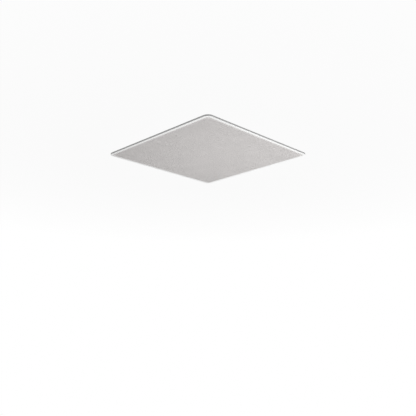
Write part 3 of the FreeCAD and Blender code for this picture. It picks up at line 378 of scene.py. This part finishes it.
# %% [markdown]
# ## Surround and spider
# Two flexible rings hold the cone: a rubber half roll at its rim and a corrugated cloth at its neck. Both
# bend as the cone moves, so each is one skin that follows the basket at its outer edge and the cone at its
# inner edge. One point spun half a turn makes a half round, a chain of half rounds makes the profile, and a
# full spin makes the ring. A Solidify modifier gives the wall, with the skin in its middle.

# %% Helpers for rings
HALF_ROUND_STEPS = 8
RING_STEPS = 96
MIDDLE = Vector((0.0, 0.0, 0.0))


def only(kind, items):
    """The points or the edges among what an operator made."""
    return [item for item in items if isinstance(item, kind)]


def half_rounds(bm, start, radius, count, first):
    """A chain of half rounds from a point, outwards from the axis; first is 1 to begin upwards."""
    last = start
    for turn in range(count):
        middle = last.co + Vector((radius, 0.0, 0.0))
        made = bmesh.ops.spin(bm, geom=[last], cent=middle, axis=(0.0, first * (-1) ** turn, 0.0),
                              angle=math.pi, steps=HALF_ROUND_STEPS, use_duplicate=False)
        last = only(bmesh.types.BMVert, made["geom_last"])[0]
    return last


def drawn_out(bm, point, step):
    """A straight line from a point to the end of the step."""
    made = bmesh.ops.extrude_vert_indiv(bm, verts=[point])
    bmesh.ops.translate(bm, verts=made["verts"], vec=step)
    return made["verts"][0]


def spun(bm, middle, steps):
    """Spins the whole profile once round an upright axis and closes the seam."""
    bmesh.ops.spin(bm, geom=bm.verts[:] + bm.edges[:], cent=middle, axis=(0.0, 0.0, 1.0),
                   angle=math.tau, steps=steps, use_merge=True, use_duplicate=False)
    bmesh.ops.remove_doubles(bm, verts=bm.verts[:], dist=TOUCHING)
    bmesh.ops.recalc_face_normals(bm, faces=bm.faces[:])
    for face in bm.faces:
        face.smooth = True


def suspended(name, bm, material, node, wall, outer, inner):
    """A skin between the basket and the cone, with weights by its distance from the axis."""
    piece = new_piece(name, bm, material)
    solidify = piece.modifiers.new("wall", "SOLIDIFY")
    solidify.thickness = wall
    solidify.offset = 0.0
    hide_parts(node)
    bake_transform(piece, "frame", "cone", start=(outer, 0.0, 0.0), end=(inner, 0.0, 0.0))
    share = piece.data.attributes["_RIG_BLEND"]
    for point, weight in zip(piece.data.vertices, share.data):
        part = min(max((outer - point.co.xy.length) / (outer - inner), 0.0), 1.0)
        weight.value = part * part * (3.0 - 2.0 * part)


# %% [markdown]
# The rubber surround is a single half roll that bulges towards the room. Two straight lips, on the cone and
# on the basket, are where it is glued.

# %% Surround
ROLL_RADIUS = 0.006
SURROUND_WALL = 0.0008
SURROUND_LIP = 0.005
surround_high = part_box("woofer_surround")[1]
lip_z = surround_high.z - SURROUND_WALL / 2.0
cone_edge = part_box("woofer_cone")[1].x
skin = bmesh.new()
roll_start = skin.verts.new((cone_edge, 0.0, lip_z))
roll_end = half_rounds(skin, roll_start, ROLL_RADIUS, 1, -1)
drawn_out(skin, roll_start, (-SURROUND_LIP, 0.0, 0.0))
drawn_out(skin, roll_end, (surround_high.x - roll_end.co.x, 0.0, 0.0))
spun(skin, MIDDLE, RING_STEPS)
rubber = coated("rubber", (0.022, 0.022, 0.022), (0.035, 0.035, 0.035), 0.48, 0.0005, 0.00001)
suspended("half_roll_surround", skin, rubber, "woofer_surround", SURROUND_WALL,
          cone_edge + 2.0 * ROLL_RADIUS, cone_edge)

# %% [markdown]
# The spider is cloth stiffened with resin and pressed into waves, from the voice coil's former out to the
# basket. It is a chain of half rounds that turn up and down, so the same helpers make it.

# %% Spider
HALF_WAVES = 8
WAVE_RADIUS = 0.0016
SPIDER_WALL = 0.0005
SPIDER_LIP = 0.003
GLUE_LINE = 0.0001
spider_low, spider_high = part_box("woofer_spider")
first_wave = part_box("woofer_former")[1].x + GLUE_LINE + SPIDER_LIP
skin = bmesh.new()
wave_start = skin.verts.new((first_wave, 0.0, (spider_low.z + spider_high.z) / 2.0))
wave_end = half_rounds(skin, wave_start, WAVE_RADIUS, HALF_WAVES, 1)
drawn_out(skin, wave_start, (-SPIDER_LIP, 0.0, 0.0))
drawn_out(skin, wave_end, (spider_high.x - wave_end.co.x, 0.0, 0.0))
spun(skin, MIDDLE, RING_STEPS)
resin_cloth = woven("resin_cloth", (0.42, 0.27, 0.09), (0.66, 0.47, 0.2), 0.0006, 0.00012, 0.75)
suspended("corrugated_spider", skin, resin_cloth, "woofer_spider", SPIDER_WALL,
          first_wave + 2.0 * HALF_WAVES * WAVE_RADIUS, first_wave)

# %% [markdown]
# ## Windings
# The crossover's coils are wound with enamelled copper wire, and their outer turns show as rows of beads.
# A bump would do from far away, but the edge of the winding would stay straight, so the turns are real: a
# chain of small half rounds up the side, spun round the coil's own axis.

# %% Copper wire
BEAD_STEPS = 6
COIL_STEPS = 64
DRUM_CHEEK = Vector((0.0004, 0.0004, 0.0022))


def wound(name, low, high, inner, wire, node):
    """A winding with its outer turns as beads, between two cheeks."""
    middle = Vector(((low.x + high.x) / 2.0, (low.y + high.y) / 2.0, 0.0))
    turns = round((high.z - low.z) / wire)
    bead = (high.z - low.z) / turns / 2.0
    outer = (high.x - low.x) / 2.0 - bead
    bm = bmesh.new()
    last = bm.verts.new(middle + Vector((outer, 0.0, low.z)))
    start = last
    for turn in range(turns):
        made = bmesh.ops.spin(bm, geom=[last], cent=last.co + Vector((0.0, 0.0, bead)),
                              axis=(0.0, -1.0, 0.0), angle=math.pi, steps=BEAD_STEPS, use_duplicate=False)
        last = only(bmesh.types.BMVert, made["geom_last"])[0]
    top = drawn_out(bm, last, (inner - outer, 0.0, 0.0))
    foot = drawn_out(bm, start, (inner - outer, 0.0, 0.0))
    bm.edges.new((top, foot))
    spun(bm, middle, COIL_STEPS)
    winding = new_piece(name, bm, copper_wire)
    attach(winding, "frame")
    if node:
        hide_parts(node)


copper_wire = coated("copper_wire", (0.56, 0.2, 0.08), (0.68, 0.27, 0.12), 0.42, 0.006, 0.00001, 1.0)
dress(copper_wire, "woofer_coil", "tweeter_coil")
wound("inductor_turns", *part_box("inductor_winding"), inner=0.006, wire=0.001, node="inductor_winding")
drum_low, drum_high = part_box("drum_inductor")
wound("drum_turns", drum_low + DRUM_CHEEK, drum_high - DRUM_CHEEK, inner=0.0072, wire=0.0006, node=None)

# %% [markdown]
# ## Plastics, castings and metals
# The rest of the solids keep their shapes and get their finishes here: black powder coat on the cast
# basket, polypropylene on the cone, zinc plate on the steel, sintered ferrite on the magnets, and moulded
# plastic on the bridge, pod, tray and clamps. One helper serves them all, with its tints, gloss and grit
# set for each, because what tells them apart is how rough they are and how coarse their grain is.

# %% Finishes for the solids
coated_casting = coated("coated_casting", (0.028, 0.028, 0.03), (0.045, 0.045, 0.048), 0.5, 0.0006, 0.00006)
dress(coated_casting, "woofer_basket")
polypropylene = coated("polypropylene", (0.035, 0.035, 0.038), (0.055, 0.055, 0.058), 0.38, 0.0015, 0.00002)
dress(polypropylene, "woofer_cone", "woofer_dust_cap")
gasket_foam = coated("gasket_foam", (0.02, 0.02, 0.02), (0.05, 0.05, 0.05), 0.95, 0.0007, 0.0002)
dress(gasket_foam, "woofer_gasket")
black_moulding = coated("black_moulding", (0.025, 0.025, 0.026), (0.04, 0.04, 0.042), 0.45, 0.0005, 0.00003)
dress(black_moulding, "tweeter_bridge", "tweeter_cup", "tweeter_faceplate", "crossover_tray",
      "inductor_bobbin", "terminal_block", "terminal_button_black")
red_moulding = coated("red_moulding", (0.5, 0.012, 0.01), (0.6, 0.02, 0.016), 0.32, 0.0006, 0.00001)
dress(red_moulding, "terminal_button_red")
clamp_nylon = coated("clamp_nylon", (0.06, 0.062, 0.066), (0.1, 0.102, 0.106), 0.55, 0.0008, 0.00004)
dress(clamp_nylon, *(f"clamp_leg_{k}" for k in range(1, 5)))
zinc_plate = coated("zinc_plate", (0.55, 0.55, 0.53), (0.68, 0.68, 0.67), 0.34, 0.0004, 0.00001, 1.0)
dress(zinc_plate, "woofer_top_plate", "woofer_yoke", "tweeter_pole_plate", "tweeter_yoke", "tray_screw",
      "board_screws")
nickel_plate = coated("nickel_plate", (0.62, 0.6, 0.56), (0.7, 0.68, 0.64), 0.2, 0.002, 0.000005, 1.0)
dress(nickel_plate, "grille_magnets", "tweeter_magnet")
black_oxide = coated("black_oxide", (0.03, 0.03, 0.03), (0.06, 0.06, 0.06), 0.42, 0.0004, 0.00001, 0.6)
dress(black_oxide, "woofer_screws", "bridge_screws")
rolled_foil = coated("rolled_foil", (0.72, 0.72, 0.73), (0.8, 0.8, 0.81), 0.25, 0.004, 0.00001, 1.0)
dress(rolled_foil, "woofer_former")
coated_silk = woven("coated_silk", (0.02, 0.02, 0.024), (0.05, 0.05, 0.058), 0.0003, 0.00003, 0.5)
dress(coated_silk, "tweeter_dome")
ceramic = coated("ceramic", (0.035, 0.036, 0.04), (0.075, 0.076, 0.08), 0.6, 0.0005, 0.00005)
dress(ceramic, "woofer_magnet", "drum_inductor")

# %% [markdown]
# ## Threads of the clamp screws
# Each clamp leg climbs its screw on a rolled thread. A bump would leave the outline of the shank smooth, so
# the thread is real. A copy of the solid keeps its head and neck, and a thinner core is drawn up from the
# cut. One small triangle is then spun round the axis and lifted a little at each step, so that it winds up
# the core as a ridge. The ridge is as wide as the old shank, so the leg runs on it as before.

# %% Clamp screws
NECK = 0.0085
THREAD_PITCH = 0.0012
THREAD_DEPTH = 0.0004
THREAD_ROOT = 0.0001
THREAD_FLANK = 0.4 * THREAD_PITCH
THREAD_STEPS = 18
SHARP_FOLD = 0.5


def bare_core(screw, seat, height):
    """Cuts the shank off at the seat and draws a thinner core up from there; gives the shank's radius."""
    bmesh.ops.remove_doubles(screw, verts=screw.verts[:], dist=TOUCHING)
    bmesh.ops.bisect_plane(screw, geom=screw.verts[:] + screw.edges[:] + screw.faces[:], dist=TOUCHING,
                           plane_co=seat, plane_no=(0.0, 0.0, 1.0), clear_outer=True)
    cut = [edge for edge in screw.edges if edge.is_boundary]
    shank = max((point.co - seat).length for edge in cut for point in edge.verts)
    core = bmesh.ops.holes_fill(screw, edges=cut)["faces"]
    bmesh.ops.inset_region(screw, faces=core, thickness=THREAD_DEPTH, use_boundary=True, use_even_offset=True)
    grown = bmesh.ops.extrude_face_region(screw, geom=core)["geom"]
    bmesh.ops.delete(screw, geom=core, context="FACES_ONLY")
    bmesh.ops.translate(screw, verts=only(bmesh.types.BMVert, grown), vec=(0.0, 0.0, height))
    return shank


def wound_ridge(screw, seat, shank, turns):
    """Winds a three-sided ridge up the core, in that many turns."""
    root = shank - THREAD_DEPTH - THREAD_ROOT
    middle = THREAD_PITCH / 2.0
    profile = ((root, middle - THREAD_FLANK), (shank, middle), (root, middle + THREAD_FLANK))
    ridge = [screw.verts.new(seat + Vector((reach, 0.0, lift))) for reach, lift in profile]
    sides = [screw.edges.new((ridge[i - 1], ridge[i])) for i in range(3)]
    bmesh.ops.spin(screw, geom=ridge + sides, cent=seat, axis=(0.0, 0.0, 1.0),
                   dvec=(0.0, 0.0, THREAD_PITCH / THREAD_STEPS), angle=math.tau * turns,
                   steps=THREAD_STEPS * turns, use_duplicate=False)
    bmesh.ops.holes_fill(screw, edges=[edge for edge in screw.edges if edge.is_boundary])


def threaded_screw(number):
    """The screw of one clamp, with its thread as a ridge on a core."""
    node = f"clamp_screw_{number}"
    low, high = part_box(node)
    seat = Vector(((low.x + high.x) / 2.0, (low.y + high.y) / 2.0, low.z + NECK))
    height = high.z - seat.z
    turns = math.floor(height / THREAD_PITCH) - 1
    screw = bmesh.new()
    screw.from_mesh(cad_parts[node].data)
    shank = bare_core(screw, seat, height)
    wound_ridge(screw, seat, shank, turns)
    bmesh.ops.recalc_face_normals(screw, faces=screw.faces[:])
    for face in screw.faces:
        face.smooth = True
    for edge in screw.edges:
        edge.smooth = edge.calc_face_angle(0.0) < SHARP_FOLD
    print(node, "turns:", turns, "open edges:", sum(edge.is_boundary for edge in screw.edges))
    piece = new_piece(f"threaded_screw_{number}", screw, zinc_plate)
    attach(piece, node)
    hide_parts(node)


for number in range(1, 5):
    threaded_screw(number)

# %% [markdown]
# ## The crossover
# Above the motor a small board splits the sound between the two drivers. Its green solder mask shows paler
# copper tracks beneath. The tracks are two sets of bands, along the board and across it, and the blocky cells
# of a Voronoi pattern say which set shows where. That looks laid out, and no track has to be drawn one by
# one.

# %% Solder mask
TRACK_PITCH = 0.0028
TRACK_CELL = 0.016
TRACK_RELIEF = 0.00003


def solder_mask():
    """Green mask, paler where copper lies under it."""
    material, tree, shader = new_finish("solder_mask", 0.3)
    cells = placed(tree, "ShaderNodeTexVoronoi", TRACK_CELL)
    cells.distance = "CHEBYCHEV"
    choice = tree.nodes.new("ShaderNodeSeparateColor")
    tree.links.new(cells.outputs["Color"], choice.inputs["Color"])
    tracks = tree.nodes.new("ShaderNodeMix")
    tree.links.new(worked_out(tree, "GREATER_THAN", choice.outputs["Red"], 0.5), tracks.inputs["Factor"])
    for direction, socket in (("X", "A"), ("Y", "B")):
        tree.links.new(bands(tree, direction, TRACK_PITCH).outputs["Fac"], tracks.inputs[socket])
    height = tracks.outputs["Result"]
    copper_under = tinted(tree, height, (0.008, 0.075, 0.028), (0.02, 0.18, 0.06), 0.7, 0.78)
    tree.links.new(copper_under, shader.inputs["Base Color"])
    raised(tree, shader, height, TRACK_RELIEF)
    return material


dress(solder_mask(), "crossover_board")

# %% [markdown]
# The electrolytic capacitor is an aluminium can in a blue shrink sleeve, with a pale stripe along it and bare
# metal at both ends. Its finish reads how far a point lies from the can's middle, where 1 is the can's own
# surface, so one material holds sleeve, stripe and metal.

# %% Sleeve of the can
STRIPE_PLACE = -0.2
STRIPE_REACH = 0.22
END_DEPTH = 0.01
SLEEVE_LIP = 0.78
SLEEVE_ROUGHNESS = 0.25
METAL_ROUGHER = 0.2


def sleeved():
    """Blue shrink sleeve with a pale stripe along the top of the can, open at the can's bare ends."""
    material, tree, shader = new_finish("sleeve", SLEEVE_ROUGHNESS)
    low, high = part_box("can_capacitor")
    half = (high - low) / 2.0
    where = tree.nodes.new("ShaderNodeTexCoord")
    centred = tree.nodes.new("ShaderNodeMapping")
    centred.inputs["Scale"].default_value = [1.0 / reach for reach in half]
    centred.inputs["Location"].default_value = [-(edge / reach + 1.0) for edge, reach in zip(low, half)]
    split = tree.nodes.new("ShaderNodeSeparateXYZ")
    tree.links.new(where.outputs["Object"], centred.inputs["Vector"])
    tree.links.new(centred.outputs["Vector"], split.inputs["Vector"])
    along, aside, up = split.outputs
    stripe = worked_out(tree, "COMPARE", aside, STRIPE_PLACE, STRIPE_REACH)
    at_end = worked_out(tree, "COMPARE", worked_out(tree, "ABSOLUTE", along), 1.0, END_DEPTH)
    square = worked_out(tree, "MULTIPLY_ADD", up, up, worked_out(tree, "MULTIPLY", aside, aside))
    radius = worked_out(tree, "SQRT", square)
    bare = worked_out(tree, "MULTIPLY", at_end, worked_out(tree, "LESS_THAN", radius, SLEEVE_LIP))
    sleeve = tinted(tree, stripe, (0.02, 0.03, 0.14), (0.5, 0.51, 0.56))
    metal = tree.nodes.new("ShaderNodeMix")
    metal.data_type = "RGBA"
    tree.links.new(bare, metal.inputs["Factor"])
    tree.links.new(sleeve, metal.inputs["A"])
    metal.inputs["B"].default_value = (0.62, 0.62, 0.63, 1.0)
    tree.links.new(metal.outputs["Result"], shader.inputs["Base Color"])
    tree.links.new(bare, shader.inputs["Metallic"])
    gloss = worked_out(tree, "MULTIPLY_ADD", bare, METAL_ROUGHER, SLEEVE_ROUGHNESS)
    tree.links.new(gloss, shader.inputs["Roughness"])
    raised(tree, shader, cloudy(tree, 0.004), 0.00002)
    return material


dress(sleeved(), "can_capacitor")

# %% [markdown]
# The film capacitor is cast in a yellow box, and the resistor in white cement. Both are plain blocks, and
# only their gloss and grit tell resin from cement.

# %% Film box and cement
film_box = coated("film_box", (0.62, 0.4, 0.03), (0.72, 0.48, 0.05), 0.3, 0.002, 0.00002)
dress(film_box, "film_capacitor")
cast_cement = coated("cast_cement", (0.66, 0.65, 0.6), (0.78, 0.77, 0.73), 0.8, 0.0006, 0.00006)
dress(cast_cement, "power_resistor")

# %% [markdown]
# ## Printed outlines and leads
# Boards carry a printed outline round each component, so that it is put in the right place. A bump can't
# print, and a pattern would have to know every component, so the ink is a thin piece of its own: each
# outline starts as one face a little larger than the component, is inset, and loses its middle.

# %% Printed outlines
OUTLINE_MARGIN = 0.0008
INK_WIDTH = 0.0003
INK_THICKNESS = 0.00004
SQUARE = 4
ROUND = 48
board_low, board_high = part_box("crossover_board")
ink = bmesh.new()
for name, points in (("can_capacitor", SQUARE), ("film_capacitor", SQUARE), ("power_resistor", SQUARE),
                     ("inductor_bobbin", ROUND), ("drum_inductor", ROUND)):
    low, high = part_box(name)
    size = high - low + Vector((2.0 * OUTLINE_MARGIN, 2.0 * OUTLINE_MARGIN, 0.0))
    reach = math.sqrt(0.5) if points == SQUARE else 0.5
    stretch = Matrix.Diagonal((size.x, size.y, 1.0, 1.0)) @ Matrix.Rotation(math.pi / 4.0, 4, "Z")
    spot = Matrix.Translation(((low.x + high.x) / 2.0, (low.y + high.y) / 2.0, board_high.z + INK_THICKNESS))
    made = bmesh.ops.create_circle(ink, cap_ends=True, segments=points, radius=reach, matrix=spot @ stretch)
    face = made["verts"][0].link_faces[0]
    bmesh.ops.inset_region(ink, faces=[face], thickness=INK_WIDTH, use_boundary=True, use_even_offset=True)
    bmesh.ops.delete(ink, geom=[face], context="FACES")
bmesh.ops.solidify(ink, geom=ink.faces[:], thickness=INK_THICKNESS)
bmesh.ops.recalc_face_normals(ink, faces=ink.faces[:])
marking_ink = coated("marking_ink", (0.7, 0.7, 0.68), (0.78, 0.78, 0.76), 0.6, 0.0006, 0.00001)
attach(new_piece("printed_outlines", ink, marking_ink), "frame")

# %% [markdown]
# The can's two wires leave it at its ends, bend and go down into the board. Each one is a small ring that is
# drawn straight, spun through a quarter turn and drawn down, and its two ends are closed.

# %% Leads of the can
WIRE_RADIUS = 0.0004
WIRE_BEND = 0.001
WIRE_POINTS = 10
BEND_STEPS = 6


def drawn_tube(bm, loop, step):
    """Draws a loop of edges out by a step, and gives the points and edges at its new end."""
    made = bmesh.ops.extrude_edge_only(bm, edges=loop)["geom"]
    points = only(bmesh.types.BMVert, made)
    bmesh.ops.translate(bm, verts=points, vec=step)
    return points, only(bmesh.types.BMEdge, made)


can_low, can_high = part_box("can_capacitor")
wires = bmesh.new()
for end, outwards in ((can_low.x, -1.0), (can_high.x, 1.0)):
    start = Vector((end, (can_low.y + can_high.y) / 2.0, (can_low.z + can_high.z) / 2.0))
    turned = Matrix.Translation(start) @ Matrix.Rotation(math.pi / 2.0, 4, "Y")
    ring = bmesh.ops.create_circle(wires, segments=WIRE_POINTS, radius=WIRE_RADIUS, matrix=turned)["verts"]
    loop = list({edge for point in ring for edge in point.link_edges})
    points, loop = drawn_tube(wires, loop, (outwards * WIRE_BEND, 0.0, 0.0))
    corner = start + Vector((outwards * WIRE_BEND, 0.0, -WIRE_BEND))
    bent = bmesh.ops.spin(wires, geom=points + loop, cent=corner, axis=(0.0, outwards, 0.0),
                          angle=math.pi / 2.0, steps=BEND_STEPS, use_duplicate=False)["geom_last"]
    drawn_tube(wires, only(bmesh.types.BMEdge, bent), (0.0, 0.0, board_low.z - corner.z))
bmesh.ops.holes_fill(wires, edges=wires.edges[:])
bmesh.ops.recalc_face_normals(wires, faces=wires.faces[:])
for face in wires.faces:
    face.smooth = len(face.verts) == 4
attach(new_piece("can_leads", wires, zinc_plate), "frame")

# %% [markdown]
# ## The ceiling sheets
# The speaker is shown in a plain pale board that looks white to the camera and in reflections. Near the
# speaker a share of plain shading keeps the shadow, and this share fades with the distance, so that a sheet
# runs into the white behind it without an edge.

# %% White for the camera
FADE_START = 0.2
FADE_END = 0.8
TINT_STEP = 0.02
BOARD_CLOUDS = 0.4


def mostly_seen(tree):
    """One where a ray comes from the camera, a mirror or glass, and zero where it only lights."""
    path = tree.nodes.new("ShaderNodeLightPath")
    mirrored = worked_out(tree, "MAXIMUM", path.outputs["Is Glossy Ray"], path.outputs["Is Transmission Ray"])
    return worked_out(tree, "MAXIMUM", path.outputs["Is Camera Ray"], mirrored)


def pale_sheet(name, grey, near_share):
    """Matt board of that grey, lifted towards white for the camera, by near_share beside the speaker."""
    material, tree, shader = new_finish(name, 0.9)
    paler = grey + TINT_STEP
    clouds = cloudy(tree, BOARD_CLOUDS)
    tree.links.new(tinted(tree, clouds, [grey] * 3, [paler] * 3), shader.inputs["Base Color"])
    where = tree.nodes.new("ShaderNodeTexCoord")
    distance = tree.nodes.new("ShaderNodeVectorMath")
    distance.operation = "LENGTH"
    tree.links.new(where.outputs["Object"], distance.inputs[0])
    white_share = spread(tree, distance.outputs["Value"], near_share, 1.0, FADE_START, FADE_END)
    glow = tree.nodes.new("ShaderNodeEmission")
    mix = tree.nodes.new("ShaderNodeMixShader")
    tree.links.new(worked_out(tree, "MULTIPLY", mostly_seen(tree), white_share), mix.inputs["Fac"])
    tree.links.new(shader.outputs["BSDF"], mix.inputs[1])
    tree.links.new(glow.outputs["Emission"], mix.inputs[2])
    tree.links.new(mix.outputs["Shader"], tree.nodes["Material Output"].inputs["Surface"])
    return material


# %% [markdown]
# Each sheet is a big square whose middle is inset and cut out for the frame, and it lies on the frame's
# bearing face. One is the ceiling that is seen from below. A second one just above it is the floor for views
# from above, where the taller parts need a deeper shadow.

# %% Two sheets
CUTOUT = 0.209
SHEET_REACH = 3.0


def cut_sheet(name, height, grey, near_share):
    """A big square at that height with the cut-out in its middle."""
    board = bmesh.new()
    bmesh.ops.create_grid(board, x_segments=1, y_segments=1, size=SHEET_REACH)
    middle = board.faces[:]
    bmesh.ops.inset_region(board, faces=middle, thickness=SHEET_REACH - CUTOUT / 2.0,
                           use_boundary=True, use_even_offset=True)
    print(name, "cut-out:", round(math.sqrt(middle[0].calc_area()), 4))
    bmesh.ops.delete(board, geom=middle, context="FACES")
    bmesh.ops.translate(board, verts=board.verts[:], vec=(0.0, 0.0, height))
    ceiling = bpy.data.objects.new(name, bpy.data.meshes.new(name))
    board.to_mesh(ceiling.data)
    board.free()
    ceiling.data.materials.append(pale_sheet(name, grey, near_share))
    bpy.context.scene.collection.objects.link(ceiling)


cut_sheet("ceiling_below", height=0.0002, grey=0.32, near_share=0.94)
cut_sheet("ceiling_above", height=0.0008, grey=0.6, near_share=0.75)

# %% [markdown]
# The room itself is only a world colour. It looks white wherever the camera or a mirror sees it, and gives
# the object a weaker, even light from all sides, so that the lamps still shape it.

# %% World
WORLD_LIGHT = 0.3
world = bpy.data.worlds.new("pale_room")
bpy.context.scene.world = world
world.use_nodes = True
sky = world.node_tree.nodes["Background"]
level = spread(world.node_tree, mostly_seen(world.node_tree), WORLD_LIGHT, 1.0, 0.0, 1.0)
world.node_tree.links.new(level, sky.inputs["Strength"])
sky.inputs["Color"].default_value = (1.0, 1.0, 1.0, 1.0)
print("light from the room:", WORLD_LIGHT)

# %% [markdown]
# ## Lamps
# The room's light comes up from below and a little from the right, so the grille falls off gently to the
# left and the rim's near edge stays in soft shade. A second large lamp above lights the back for the other
# views. Large lamps give soft shadows, and their power is set so that white paint stays just under white.


# %% Lamps
def soft_lamp(name, place, aim, side, power):
    """A square lamp at a place, facing along aim."""
    lamp = bpy.data.lights.new(name, "AREA")
    lamp.size = side
    lamp.energy = power
    stand = bpy.data.objects.new(name, lamp)
    stand.location = place
    stand.rotation_euler = Vector(aim).to_track_quat("-Z", "Y").to_euler()
    stand.visible_camera = False
    bpy.context.scene.collection.objects.link(stand)


below = 0.135 * rightwards - 0.06 * across + Vector((0.0, 0.0, -0.5))
above = 0.6 * rightwards - 0.5 * across + Vector((0.0, 0.0, 1.3))
soft_lamp("room_lamp", below, aim=(0.0, 0.0, 1.0), side=0.16, power=1.95)
soft_lamp("upper_lamp", above, aim=-above, side=0.9, power=14.0)
bpy.context.scene.view_settings.view_transform = "Standard"
print("lamps at", tuple(round(c, 2) for c in below), "and", tuple(round(c, 2) for c in above))
